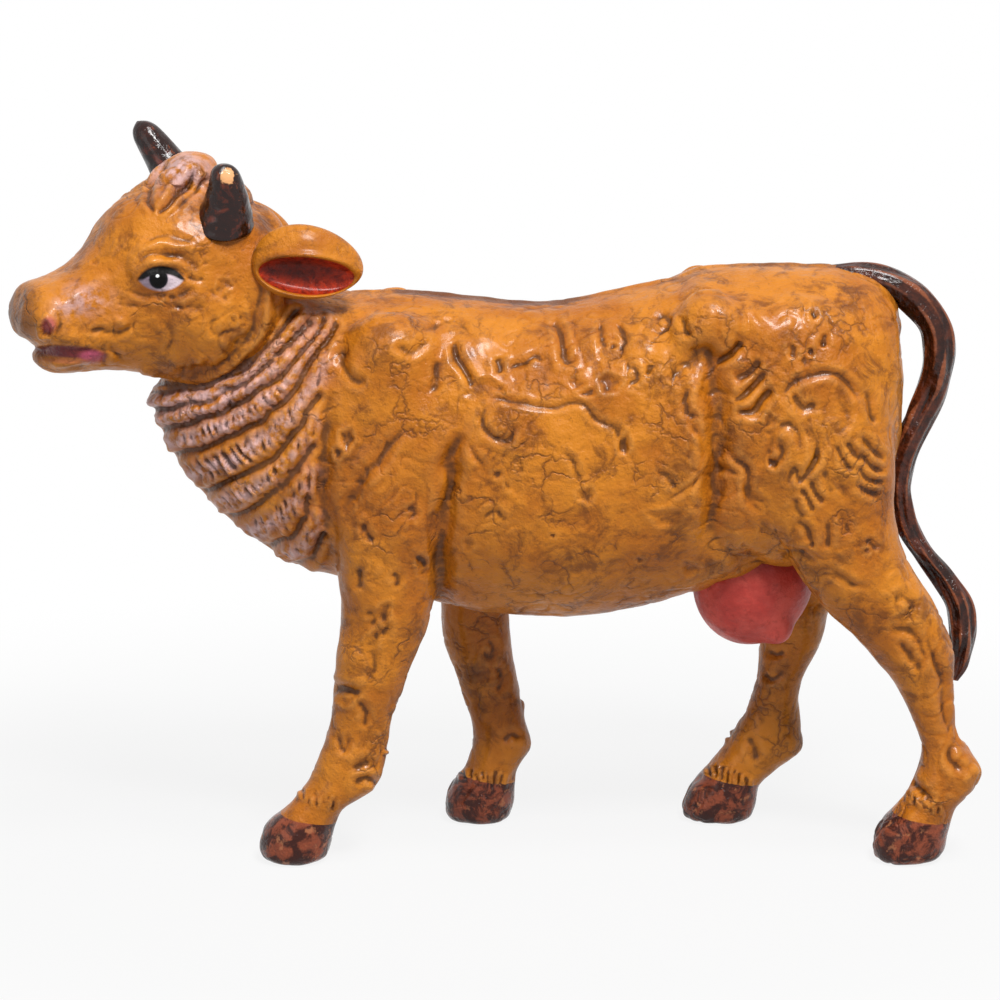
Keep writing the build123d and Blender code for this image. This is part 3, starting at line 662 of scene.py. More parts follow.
class PaintBox:
    # short ways to add and link nodes in one material
    def __init__(self, name):
        self.mat = bpy.data.materials.new(name)
        self.mat.use_nodes = True
        self.tree = self.mat.node_tree
        self.shader = self.tree.nodes["Principled BSDF"]
        self.coords = self.tree.nodes.new("ShaderNodeTexCoord").outputs["Object"]

    def link(self, a, b):
        self.tree.links.new(a, b)

    def grain(self, scale, detail=4, rough=0.6, warp=0.0):
        node = self.tree.nodes.new("ShaderNodeTexNoise")
        node.inputs["Scale"].default_value = scale
        node.inputs["Detail"].default_value = detail
        node.inputs["Roughness"].default_value = rough
        node.inputs["Distortion"].default_value = warp
        self.link(self.coords, node.inputs["Vector"])
        return node.outputs["Fac"]

    def cracks(self, scale, warp):
        # distance to the edges of warped cells
        soft = self.tree.nodes.new("ShaderNodeTexNoise")
        soft.inputs["Scale"].default_value = scale * 1.6
        soft.inputs["Detail"].default_value = 3
        self.link(self.coords, soft.inputs["Vector"])
        push = self.tree.nodes.new("ShaderNodeVectorMath")
        push.operation = "SCALE"
        push.inputs["Scale"].default_value = warp * 2
        self.link(soft.outputs["Color"], push.inputs[0])
        place = self.tree.nodes.new("ShaderNodeVectorMath")
        self.link(self.coords, place.inputs[0])
        self.link(push.outputs[0], place.inputs[1])
        node = self.tree.nodes.new("ShaderNodeTexVoronoi")
        node.feature = "DISTANCE_TO_EDGE"
        node.inputs["Scale"].default_value = scale
        self.link(place.outputs[0], node.inputs["Vector"])
        return node.outputs["Distance"]

    def mark(self, name):
        node = self.tree.nodes.new("ShaderNodeAttribute")
        node.attribute_name = name
        return node.outputs["Fac"]

    def ramp(self, value, low, high, first=0.0, last=1.0):
        node = self.tree.nodes.new("ShaderNodeMapRange")
        node.interpolation_type = "SMOOTHSTEP"
        for key, number in (("From Min", low), ("From Max", high), ("To Min", first), ("To Max", last)):
            node.inputs[key].default_value = number
        self.link(value, node.inputs["Value"])
        return node.outputs["Result"]

    def sums(self, how, a, b):
        node = self.tree.nodes.new("ShaderNodeMath")
        node.operation = how
        for value, socket in ((a, node.inputs[0]), (b, node.inputs[1])):
            if isinstance(value, (int, float)):
                socket.default_value = value
            else:
                self.link(value, socket)
        return node.outputs[0]

    def blend(self, share, a, b):
        node = self.tree.nodes.new("ShaderNodeMix")
        node.data_type = "RGBA"
        for value, socket in ((share, node.inputs[0]), (a, node.inputs[6]), (b, node.inputs[7])):
            if isinstance(value, (tuple, float, int)):
                socket.default_value = value
            else:
                self.link(value, socket)
        return node.outputs[2]

    def frayed(self, name, amount, scale, detail=4, rough=0.6):
        # a mark whose edge is broken up by fine grain
        fringe = self.sums("MULTIPLY", self.grain(scale, detail, rough), amount)
        return self.sums("ADD", self.mark(name), fringe)

    def bump(self, height, distance, strength):
        node = self.tree.nodes.new("ShaderNodeBump")
        node.inputs["Strength"].default_value = strength
        node.inputs["Distance"].default_value = distance
        self.link(height, node.inputs["Height"])
        self.link(node.outputs["Normal"], self.shader.inputs["Normal"])

    def varnish(self, coat, coatRough, specular):
        self.shader.inputs["Coat Weight"].default_value = coat
        self.shader.inputs["Coat Roughness"].default_value = coatRough
        self.shader.inputs["Specular IOR Level"].default_value = specular


coatPaint = {
    "light": (204, 125, 30), "mid": (176, 99, 18), "shade": (112, 58, 12), "washAndShade": (50, 24, 8),
    "patch": (92, 48, 22), "lilacSheen": (224, 184, 182), "wearAndHighlight": (222, 150, 70),
    "hoof": (62, 22, 12), "hoofRed": (142, 70, 44), "hoofPale": (184, 116, 76),
    "coatShare": 0.22, "coatRough": 0.16, "specular": 0.14,
}


def coatMaterial(name, face=False):
    box = PaintBox(name)
    tone = coatPaint
    col = box.blend(box.ramp(box.grain(90, 5), 0.36, 0.64), paint(*tone["mid"]), paint(*tone["light"]))
    blotch = box.ramp(box.grain(230, 7, 0.72, 0.6), 0.48, 0.66, 0.0, 0.78)
    col = box.blend(blotch, col, paint(*tone["shade"]))
    fleck = box.ramp(box.grain(1100, 3, 0.6), 0.62, 0.72, 0.0, 0.4)
    col = box.blend(fleck, col, paint(*tone["shade"]))
    # crazed varnish: broken dark hairlines with a soft stain beside them
    craze = box.cracks(170, 0.0045)
    broken = box.ramp(box.grain(120, 3), 0.46, 0.6)
    stained = box.sums("MULTIPLY", broken, box.ramp(craze, 0.0, 0.16, 0.35, 0.0))
    col = box.blend(stained, col, paint(*tone["shade"]))
    hairline = box.sums("MULTIPLY", broken, box.ramp(craze, 0.0, 0.035, 0.6, 0.0))
    col = box.blend(hairline, col, paint(*tone["patch"]))
    # ridges lighter: part rubbed wear, part painted highlight
    col = box.blend(box.sums("MULTIPLY", box.mark("wearAndHighlight"), 0.35), col, paint(*tone["wearAndHighlight"]))
    # painted lilac sheen highlight where the sheen mark is
    lilacSheen = box.sums("MULTIPLY", box.mark("sheen"), box.ramp(box.grain(700, 4), 0.36, 0.6, 0.0, 0.9))
    col = box.blend(lilacSheen, col, paint(*tone["lilacSheen"]))
    spots = box.ramp(box.frayed("patch", 0.5, 1400, 4, 0.7), 0.6, 0.95, 0.0, 0.85)
    col = box.blend(spots, col, paint(*tone["patch"]))
    # dark wash in the grooves, deepened as painted shade in every hollow
    settledWashAndShade = box.ramp(box.frayed("washAndShade", 0.35, 600), 0.3, 0.95, 0.0, 0.74)
    col = box.blend(settledWashAndShade, col, paint(*tone["washAndShade"]))
    rough = box.ramp(box.grain(500, 5, 0.7), 0.3, 0.7, 0.3, 0.5)
    if not face:
        hoof = box.ramp(box.frayed("hoof", 0.3, 900, 3), 0.55, 0.72)
        mottle = box.ramp(box.grain(420, 4, 0.65, 0.8), 0.44, 0.6)
        horny = box.blend(mottle, paint(*tone["hoof"]), paint(*tone["hoofRed"]))
        paler = box.ramp(box.grain(700, 3, 0.6), 0.58, 0.7, 0.0, 0.7)
        horny = box.blend(paler, horny, paint(*tone["hoofPale"]))
        col = box.blend(hoof, col, horny)
        rough = box.blend(hoof, rough, (0.14, 0.14, 0.14, 1))
    if face:
        col, rough, eye = paintFace(box, col, rough)
    box.link(col, box.shader.inputs["Base Color"])
    box.link(rough, box.shader.inputs["Roughness"])
    box.varnish(tone["coatShare"], tone["coatRough"], tone["specular"])
    if face:
        matt = box.ramp(eye, 0, 1, tone["coatShare"], 0.0)  # the eye has no varnish
        box.link(matt, box.shader.inputs["Coat Weight"])
    lumps = box.sums("ADD", box.grain(360, 6, 0.6), box.sums("MULTIPLY", box.grain(1900, 3, 0.6), 0.2))
    lumps = box.sums("ADD", lumps, box.sums("MULTIPLY", broken, box.ramp(craze, 0.0, 0.08, -0.22, 0.0)))
    box.bump(lumps, 0.0007, 0.8)
    return box.mat


# painted features: middle and half sizes on the side view
features = {
    "lips": ((70, 352), (34, 6)), "lipCorner": ((92, 357), (12, 6)), "lowerLipHighlight": ((66, 361), (24, 2.6)),
    "nostril": ((49, 325), (7, 8)), "noseTip": ((20, 312), (16, 34)),
    "eyeLow": ((161, 288), (25, 17.5)), "eyeHigh": ((161, 269), (26, 22)),
    "lid": ((161, 290), (26.5, 24)), "underLid": ((162, 296), (27, 22)),
    "iris": ((158.5, 279), (9.5, 10)), "pupil": ((158.5, 278.5), (8, 8.8)), "glint": ((157.5, 276), (1.8, 1.6)),
}


def paintFace(box, col, rough):
    # eyes, nostrils and lips, on the head's own side map
    mapNode = box.tree.nodes.new("ShaderNodeAttribute")
    mapNode.attribute_name = "faceMap"
    split = box.tree.nodes.new("ShaderNodeSeparateXYZ")
    box.link(mapNode.outputs["Vector"], split.inputs[0])
    u, v, onSide = split.outputs

    def oval(feature, soft, turn=0.0):
        spot, size = features[feature]
        c, s = math.cos(math.radians(turn)), math.sin(math.radians(turn))
        du = box.sums("SUBTRACT", u, float(spot[0]))
        dv = box.sums("SUBTRACT", v, float(spot[1]))
        a = box.sums("ADD", box.sums("MULTIPLY", du, c / size[0]), box.sums("MULTIPLY", dv, s / size[0]))
        b = box.sums("SUBTRACT", box.sums("MULTIPLY", dv, c / size[1]), box.sums("MULTIPLY", du, s / size[1]))
        r = box.sums("SQRT", box.sums("ADD", box.sums("MULTIPLY", a, a), box.sums("MULTIPLY", b, b)), 0.0)
        return box.sums("MULTIPLY", box.ramp(r, 1 - soft, 1 + soft, 1.0, 0.0), onSide)

    def dab(shape, share, r, g, b):
        return box.blend(box.sums("MULTIPLY", shape, share), col, paint(r, g, b))

    # lips and nostril, with a painted highlight along the lower lip
    col = dab(oval("lips", 0.3, 3), 0.9, 104, 24, 44)
    col = dab(oval("lipCorner", 0.5), 0.75, 186, 84, 112)
    col = dab(oval("lowerLipHighlight", 0.7, 3), 0.7, 206, 120, 74)
    col = dab(oval("nostril", 0.5), 0.8, 176, 84, 92)
    col = dab(oval("noseTip", 0.6), 0.55, 92, 50, 24)
    # eye: almond of white, black upper lid, iris and catch-light
    almond = box.sums("MULTIPLY", oval("eyeLow", 0.06), oval("eyeHigh", 0.06))
    lid = box.sums("MULTIPLY", oval("lid", 0.05), box.sums("SUBTRACT", 1.0, oval("underLid", 0.06)))
    lid = box.sums("MULTIPLY", lid, box.ramp(v, 278, 283, 1.0, 0.0))
    white = box.blend(box.ramp(u, 146, 184), paint(160, 142, 158), paint(226, 206, 212))
    col = box.blend(almond, col, white)
    col = dab(oval("iris", 0.1), almond, 16, 18, 26)
    col = dab(oval("pupil", 0.1), almond, 4, 3, 4)
    col = box.blend(lid, col, paint(8, 6, 6))
    col = box.blend(oval("glint", 0.3), col, paint(250, 250, 250))
    wet = box.sums("MAXIMUM", almond, lid)
    return col, box.blend(wet, rough, (0.5, 0.5, 0.5, 1)), wet


# head: built in its own frame, turned to the left, then cut into its two mouldings
head = {
    "place": (-34.5, 0.0, 72.45), "turn": 22.0,
    # place along the head, top, bottom, half width, squareness
    "rows": [
        (-30.5, 4.9, 0.4, 3.4, 2.3), (-29.8, 5.9, -0.6, 5.2, 2.4), (-28.4, 6.6, -1.8, 6.4, 2.5),
        (-26.2, 7.2, -4.0, 6.9, 2.5),
        (-23.4, 8.6, -5.6, 6.9, 2.4), (-20.6, 11.4, -5.7, 7.0, 2.3), (-18.4, 14.8, -5.8, 7.6, 2.3),
        (-15.6, 17.0, -6.2, 8.6, 2.3),
        (-12.0, 18.2, -7.0, 9.7, 2.4), (-7.0, 18.6, -8.2, 10.6, 2.4), (-3.4, 17.6, -8.6, 11.1, 2.4),
        (-0.8, 16.2, -7.8, 11.6, 2.4),
        (1.2, 15.0, -6.0, 11.6, 2.3), (2.6, 13.8, -3.8, 10.8, 2.2),
    ],
    "voxel": 0.42, "ease": 5,
}


def headTurn():
    a = math.radians(head["turn"])
    return np.array([[math.cos(a), -math.sin(a), 0], [math.sin(a), math.cos(a), 0], [0, 0, 1]])


def toWorld(points):
    return points @ headTurn().T + np.array(head["place"])


def headSpot(u, v, y):
    # the point of the head's frame that the side view shows at (u, v), at distance y from its middle
    a, elev = math.radians(head["turn"]), math.radians(viewSetup["elevation"])
    aim = viewSetup["aim"]
    depth = 590.0
    for _ in range(6):
        mm = depth / (viewSetup["lens"] / 36 * 1000)
        x = ((u - 500) * mm + aim[0] - head["place"][0] + y * math.sin(a)) / math.cos(a)
        wy = x * math.sin(a) + y * math.cos(a)
        wz = aim[2] + ((500 - v) * mm - wy * math.sin(elev)) / math.cos(elev)
        depth = viewSetup["distance"] - (-wy * math.cos(elev) + (wz - aim[2]) * math.sin(elev))
    return np.array([x, y, wz - head["place"][2]])


headLines = [
    # eye: fold over the upper lid, lower lid, corner
    (0.45, 3.4, [(134, 266), (146, 257), (160, 253), (176, 255), (190, 262), (199, 268)]),
    (0.3, 3.0, [(128, 287), (145, 294), (162, 297), (180, 294), (197, 285)]),
    (0.3, 2.6, [(136, 280), (146, 271), (160, 267), (175, 270), (187, 278)]),
    (0.3, 3.0, [(186, 278), (196, 280), (206, 276)]),
    # mouth and muzzle
    (0.3, 2.4, [(34, 347), (48, 348), (66, 349), (84, 350), (101, 353)]),
    (0.35, 3.0, [(40, 366), (60, 370), (84, 369), (98, 364)]),
    (0.45, 3.0, [(101, 346), (106, 354), (103, 364)]),
    (0.3, 3.0, [(108, 343), (118, 354), (124, 364)]),
    (0.3, 3.0, [(40, 312), (48, 308), (57, 313), (61, 324), (56, 334)]),
    (0.35, 3.2, [(90, 329), (102, 332), (118, 331), (136, 324)]),
    (0.25, 3.0, [(118, 300), (128, 306), (140, 306)]),
    # cheek curls and the line inside the rim
    (0.3, 3.2, [(214, 316), (212, 328), (220, 334), (226, 328)]),
    (0.3, 3.2, [(230, 322), (228, 334), (236, 339), (241, 331)]),
    (0.3, 3.0, [(238, 314), (244, 320), (240, 326)]),
    (0.35, 3.2, [(192, 356), (197, 366), (206, 364), (207, 355)]),
    (0.25, 3.0, [(164, 318), (170, 331), (170, 345), (162, 356)]),
    (0.25, 3.0, [(176, 310), (190, 304), (204, 308)]),
    (0.25, 3.0, [(222, 352), (232, 346), (240, 338)]),
    (0.25, 3.0, [(176, 366), (188, 372), (202, 371)]),
    (0.35, 3.4, [(259, 282), (259, 304), (250, 330), (236, 350), (216, 364), (190, 371)]),
    (0.25, 3.0, [(208, 290), (220, 292), (230, 300)]),
    # brow
    (0.25, 3.2, [(142, 246), (158, 238), (178, 238), (196, 246)]),
    (0.2, 3.0, [(112, 262), (120, 252), (130, 246)]),
]
forelockLines = [
    (0.45, 3.0, [(154, 213), (148, 204), (152, 188), (160, 172), (170, 162)]),
    (0.65, 3.2, [(156, 213), (166, 206), (176, 197), (189, 184), (196, 171)]),
    (0.25, 2.8, [(178, 209), (188, 196), (200, 186), (210, 176)]),
    (0.1, 2.4, [(160, 202), (168, 190), (178, 176), (188, 164)]),
]
jawRim = [(267, 288), (267, 313), (254, 343), (233, 364), (203, 377), (174, 381), (145, 370)]
# painted shine highlights on the head: spot and size on the side view, strength
headShine = [((182, 172), (32, 20), 1.0), ((84, 300), (24, 14), 0.6), ((66, 306), (12, 12), 0.6)]
headStains = [
    ((265, 222), (14, 14), 0.6), ((182, 206), (12, 8), 0.5), ((152, 208), (6, 8), 0.5),
    ((68, 268), (20, 6), 0.35),
]
headLumps = [
    ((161, 279), (21, 11), 0.55, 0), ((165, 261), (26, 5), 0.35, 0), ((172, 246), (30, 8), 0.45, 0),
    ((164, 301), (24, 6), 0.3, 0),
    ((48, 324), (13, 14), 0.7, 0), ((26, 320), (14, 22), 0.5, 0), ((66, 338), (26, 6), 0.4, 0),
    ((70, 362), (22, 6), 0.35, 0),
    ((208, 330), (34, 32), 0.9, 0), ((110, 316), (26, 18), 0.35, 0), ((86, 290), (30, 10), 0.4, -30),
    ((119, 320), (6, 5), 0.6, 0),
    ((226, 340), (8, 8), 0.35, 0), ((200, 361), (8, 7), 0.35, 0), ((240, 322), (7, 8), 0.3, 0),
    ((104, 352), (6, 7), 0.35, 0),
    ((230, 300), (10, 10), 0.3, 0), ((182, 322), (14, 14), 0.3, 0),
]
headPits = [
    ((47, 326), (4.5, 6), 0.8), ((173, 303), (8, 6), 0.25), ((224, 286), (6, 5), 0.25),
    ((119, 320), (4, 3.5), 0.05), ((96, 262), (4, 3), 0.12),
    ((205, 262), (3, 3), 0.1), ((94, 330), (8, 3), 0.15), ((232, 318), (4, 4), 0.15),
]


def mirrorHead(co, no):
    flip = np.array([1, -1, 1])
    turn = headTurn()
    local = (co - np.array(head["place"])) @ turn
    return toWorld(local * flip), ((no @ turn) * flip) @ turn.T


def makeHeadSkin():
    rings = []
    for x, top, bottom, half, square in smoothRows(head["rows"], 4):
        middle = (x, 0, (top + bottom) / 2)
        rings.append(roundedRing(middle, (0, 0, (top - bottom) / 2), (0, half, 0), 64, square))
    parts = [tubeThrough("headSkin", rings)]
    parts.append(lump((-24.6, 0, -3.8), (4.2, 5.0, 2.0)))  # chin
    parts.append(lump((-3.0, 0, 17.2), (5.0, 4.4, 2.6), (0, 20, 0)))  # poll
    parts.append(lump((2.4, 0, 11.0), (3.2, 6.0, 4.2)))
    parts.append(lump((-7.6, 0, 19.2), (4.8, 4.0, 3.0), (0, -24, 0)))  # forelock
    for side in (-1, 1):
        parts.append(lump((-27.6, side * 4.2, 2.8), (2.6, 2.8, 2.8)))  # muzzle
        parts.append(lump((-14.6, side * 7.2, 9.0), (3.6, 2.4, 3.4)))  # eyeball
        parts.append(lump((-3.8, side * 7.0, 11.6), (4.6, 3.2, 3.8)))  # horn seat
    ob = mergeClay("headSkin", parts, head["voxel"], head["ease"])
    co, _ = readMesh(ob)
    writeMesh(ob, toWorld(co))
    return ob


def carveHead(ob):
    tool = Tool(ob, mirrorHead)
    for spot, size, height, turn in headLumps:
        tool.swell(spot, size, height, turn)
    tool.unevenness([(6.0, 0.18), (2.6, 0.13), (1.3, 0.06)], 0.1)
    for depth, width, line in headLines:
        tool.groove(smoothRows(line, 4), depth * 0.8, width * 1.25, washAndShade=0.2)
    for spot, size, depth in headPits:
        tool.pit(spot, size, depth)
    # forelock: one leaf of hair and strands above it
    for depth, width, line in forelockLines:
        tool.groove(smoothRows(line, 4), depth, width, lip=0.5, washAndShade=0.3)
    tool.swell((170, 188), (11, 24), 1.1, 35)
    tool.swell((196, 172), (14, 12), 0.5)
    # raised rim of the jaw, where the head caps the neck
    tool.groove(smoothRows(jawRim, 4), -0.6, 5.0, lip=0, taper=False, washAndShade=0)
    # painted shine highlights on the head
    for spots, facing in tool.sides:
        for spot, size, strength in headShine:
            q = (spots - np.array(spot)) / np.array(size)
            tool.sheen = np.maximum(tool.sheen, np.exp(-(q ** 2).sum(1)) * facing * strength)
    for spot, size, strength in headStains:
        tool.stain(spot, size, strength)
    tool.finish(hollowScale=0.024)
    co, no = readMesh(ob)
    turn = headTurn()
    local = (co - np.array(head["place"])) @ turn
    away = np.where(local[:, 1] < 0, -1.0, 1.0)
    local[:, 1] = -np.abs(local[:, 1])
    view = sideView(toWorld(local))
    outward = (no @ turn)[:, 1] * away
    layer = ob.data.attributes.new("faceMap", "FLOAT_VECTOR", "POINT")
    values = np.stack([view[:, 0], view[:, 1], np.clip(outward * 6 + 0.6, 0, 1)], 1)
    layer.data.foreach_set("vector", values.astype(np.float32).ravel())


coatMat = coatMaterial("coatPaint")
faceMat = coatMaterial("facePaint", face=True)

bodySkin = makeBodySkin()
carveBody(bodySkin)
legCut = 31.4
for side, name in ((-1, "left"), (1, "right")):
    piece = cutPiece(name + "_body", bodySkin, [((0, 0, 0), (0, -side, 0)), ((0, 0, legCut), (0, 0, -1))])
    settle(piece, coatMat, "coat", name + "_body_shell")
    for where in ("front", "rear"):
        front = where == "front"
        leg = cutPiece(where + "_" + name, bodySkin, [((0, 0, legCut), (0, 0, 1))],
                       lambda co, front=front, side=side: (co.x < 15) == front and co.y * side > 0)
        settle(leg, coatMat, "leg_coat", where + "_" + name + "_leg")
bpy.data.objects.remove(bodySkin)
print("stage: body and legs")

headSkin = makeHeadSkin()
carveHead(headSkin)
turned = math.radians(head["turn"])
for side, name in ((-1, "left"), (1, "right")):
    away = Vector((math.sin(turned), -math.cos(turned), 0)) * side
    piece = cutPiece(name + "_head", headSkin, [(Vector(head["place"]), away)])
    settle(piece, faceMat, "face_coat", name + "_head_shell")
bpy.data.objects.remove(headSkin)
print("stage: head")


# horns
horn = {
    "base": (222, 217), "tip": (224, 165), "depth": -7.6, "tipDepth": -10.6, "radius": 4.8, "tipRadius": 1.6,
    "farTip": (137, 121), "farDepth": 11.6, "farBase": (-4.2, 7.4, 13.4),
}


def hornMaterial():
    box = PaintBox("hornPaint")
    col = box.blend(box.ramp(box.grain(420, 5, 0.65, 0.5), 0.5, 0.7), paint(34, 9, 5), paint(104, 40, 20))
    col = box.blend(box.ramp(box.grain(900, 3), 0.6, 0.74, 0.0, 0.6), col, paint(150, 76, 40))
    chip = box.ramp(box.frayed("chip", 1.6, 700, 5, 0.7), 1.2, 1.35)
    col = box.blend(chip, col, paint(222, 162, 108))
    box.link(col, box.shader.inputs["Base Color"])
    gloss = box.ramp(box.grain(600, 3), 0.3, 0.7, 0.1, 0.24)
    box.link(box.blend(chip, gloss, (0.6, 0.6, 0.6, 1)), box.shader.inputs["Roughness"])
    box.varnish(0.3, 0.1, 0.2)
    box.bump(box.grain(420, 4, 0.5), 0.0008, 0.8)
    return box.mat


hornMat = hornMaterial()


def makeHorn(name, base, tip, chipped):
    base, tip = np.array(base, float), np.array(tip, float)
    axis = (tip - base) / np.linalg.norm(tip - base)
    length = np.linalg.norm(tip - base)
    rings = []
    sideways = np.cross(axis, (1, 0, 0))
    sideways /= np.linalg.norm(sideways)
    other = np.cross(axis, sideways)
    for k in range(34):
        t = k / 33
        r = horn["radius"] + (horn["tipRadius"] - horn["radius"]) * t ** 0.75
        end = (t - 0.86) / 0.14
        if end > 0:
            r *= math.sqrt(max(1 - end ** 2, 0.0)) * 0.98 + 0.02
        r *= 1 + 0.02 * math.sin(t * 26) * (1 - t)
        if t < 0.15:
            r *= math.sqrt(1 - (1 - t / 0.15) ** 2) * 0.9 + 0.1  # rounded foot, set in the crown
        bow = 0.55 * math.sin(t * math.pi)
        middle = base - axis * 2.2 + axis * (length + 2.2) * t + np.array([bow, 0, 0])
        rings.append(roundedRing(middle, sideways * r, other * r, 40, 2.05))
    ob = tubeThrough(name, rings)
    ob.data.transform(Matrix.Translation(head["place"]) @ Matrix.Rotation(turned, 4, "Z"))
    refine(ob)
    co, no = readMesh(ob)
    chip = np.zeros(len(co))
    if chipped:
        spot = sideView(co) - np.array((227, 176))
        facing = np.clip(-no[:, 1] * 3, 0, 1)
        chip = np.exp(-((spot[:, 0] / 8) ** 2 + (spot[:, 1] / 10) ** 2)) * facing
        writeMesh(ob, co - no * (0.35 * chip)[:, None])
    storeMark(ob, "chip", chip)
    settle(ob, hornMat, "horn", name.replace("_moulding", ""))


nearBase = headSpot(*horn["base"], horn["depth"])
nearTip = headSpot(*horn["tip"], horn["tipDepth"])
makeHorn("left_horn_moulding", nearBase, nearTip, True)
makeHorn("right_horn_moulding", horn["farBase"], headSpot(*horn["farTip"], horn["farDepth"]), False)
print("stage: horns")


# ears: a thick leaf with its lower half pressed into a cup
ear = {
    "root": (252, 261), "tip": (364, 271), "rootDepth": -11.6, "tipDepth": -14.8,
    "halfWidth": 4.9, "thick": 2.7, "cupDepth": 2.6,
}


def earMaterial():
    box = PaintBox("earPaint")
    tone = coatPaint
    col = box.blend(box.ramp(box.grain(160, 5), 0.36, 0.64), paint(*tone["mid"]), paint(*tone["light"]))
    col = box.blend(box.ramp(box.grain(420, 6, 0.7, 0.6), 0.5, 0.68, 0.0, 0.6), col, paint(*tone["shade"]))
    col = box.blend(box.ramp(box.mark("washAndShade"), 0.25, 1.0, 0.0, 0.85), col, paint(*tone["washAndShade"]))
    red = box.blend(box.ramp(box.grain(700, 5, 0.7, 0.4), 0.36, 0.62), paint(112, 22, 8), paint(200, 58, 24))
    # painted shade darkens the upper part of the red cup
    red = box.blend(box.mark("cupShade"), red, paint(44, 8, 4))
    lining = box.ramp(box.frayed("lining", 0.3, 1200, 3), 0.5, 0.75)
    col = box.blend(lining, col, red)
    box.link(col, box.shader.inputs["Base Color"])
    box.link(box.ramp(box.grain(600, 4), 0.3, 0.7, 0.24, 0.46), box.shader.inputs["Roughness"])
    box.varnish(0.2, 0.2, 0.14)
    box.bump(box.grain(700, 6, 0.65), 0.0006, 0.9)
    return box.mat


earMat = earMaterial()


def makeEar(name, side):
    root, tip = headSpot(*ear["root"], ear["rootDepth"]), headSpot(*ear["tip"], ear["tipDepth"])
    along = tip - root
    half = np.linalg.norm(along) / 2
    along /= 2 * half
    out = np.array([-0.33, -0.93, 0.0])
    out -= along * (out @ along)
    out /= np.linalg.norm(out)
    upward = np.cross(out, along)
    upward *= np.sign(upward[2])
    bpy.ops.object.select_all(action="DESELECT")
    bpy.ops.mesh.primitive_uv_sphere_add(segments=96, ring_count=64, radius=1)
    ob = bpy.context.object
    ob.name = ob.data.name = name
    co, _ = readMesh(ob)
    a, b, c = co.T  # along, up, out of the cup
    b = b * (1 - 0.16 * a) + 0.10 * (1 - a ** 2)
    q = ((a + 0.02) / 0.88) ** 2 + ((b + 0.22) / 0.54) ** 2
    cup = np.clip(1 - q, 0, 1) ** 0.6 * np.clip(c * 4 + 0.4, 0, 1)
    rim = np.exp(-((np.sqrt(q) - 1.12) / 0.16) ** 2) * np.clip(c * 4 + 0.4, 0, 1)
    push = -ear["cupDepth"] * cup + 0.35 * rim
    places = np.outer(a * half, along) + np.outer(b * ear["halfWidth"], upward)
    places += np.outer(c * ear["thick"] + push, out)
    places += np.outer(0.9 * (1 - a ** 2) - 0.9, out)  # bowed along its length
    local = (root + tip) / 2 + places
    if side > 0:
        local = local * np.array([1, -1, 1])
    writeMesh(ob, toWorld(local))
    storeMark(ob, "lining", np.clip((1.02 - q) * 6, 0, 1) * (c > -0.1))
    # painted shade inside the cup, darker towards its upper edge
    storeMark(ob, "cupShade", np.clip(cup * 1.1 - 0.45 + 0.7 * (b + 0.25) - 0.35 * a, 0, 1) * (c > -0.1))
    edge = np.exp(-((np.sqrt(q) - 1.42) / 0.08) ** 2) * (c > -0.1) * 0.3
    # dark wash on the rim; painted shade at the root, where the ear meets the head
    storeMark(ob, "washAndShade", edge + np.clip(-a - 0.72, 0, 1) * 2)
    outwardNormals(ob)
    refine(ob)
    settle(ob, earMat, "ear", name.replace("_leaf", ""))


makeEar("left_ear_leaf", -1)
makeEar("right_ear_leaf", 1)
print("stage: ears")


# udder
udder = {"place": (34.4, 0.0, 37.0), "size": (8.4, 8.2, 9.6)}


def udderMaterial():
    box = PaintBox("udderPaint")
    col = box.blend(box.ramp(box.grain(200, 5), 0.36, 0.64), paint(186, 64, 56), paint(216, 90, 78))
    col = box.blend(box.ramp(box.grain(700, 5, 0.7, 0.5), 0.52, 0.68, 0.0, 0.45), col, paint(146, 44, 38))
    col = box.blend(box.ramp(box.mark("washAndShade"), 0.2, 1.0, 0.0, 0.85), col, paint(62, 16, 12))
    box.link(col, box.shader.inputs["Base Color"])
    box.link(box.ramp(box.grain(600, 4), 0.3, 0.7, 0.34, 0.55), box.shader.inputs["Roughness"])
    box.varnish(0.15, 0.25, 0.16)
    box.bump(box.grain(700, 5, 0.6), 0.0004, 0.8)
    return box.mat


def makeUdder():
    x, _, z = udder["place"]
    parts = [lump(udder["place"], udder["size"], (0, 14, 0))]
    for side in (-1, 1):
        parts.append(lump((x + 3.0, side * 3.4, z - 6.0), (2.6, 2.6, 3.0)))
        parts.append(lump((x - 2.8, side * 3.4, z - 4.6), (3.0, 3.0, 3.2)))
    ob = mergeClay("udderSkin", parts, 0.5, 26)
    tool = Tool(ob, mirrorBody)
    tool.groove(smoothRows([(778, 640), (770, 618), (756, 598), (744, 586)], 4), 0.1, 4.0, washAndShade=0.1)
    tool.groove([(700, 566), (712, 572), (724, 580)], 0.2, 3.0, washAndShade=0.3)
    co = tool.co
    # painted shade: darker towards the top, where the udder tucks under the body
    tool.washAndShade = np.maximum(tool.washAndShade, np.clip((co[:, 2] - z + 0.5) / 3.5, 0, 1) * 0.7)
    middle = np.exp(-(co[:, 1] / 0.8) ** 2)
    tool.cut -= 0.3 * middle
    tool.finish(hollowScale=0.03)
    ob.name = "udder_moulding"
    settle(ob, udderMaterial(), "udder", "udder")


makeUdder()
print("stage: udder")


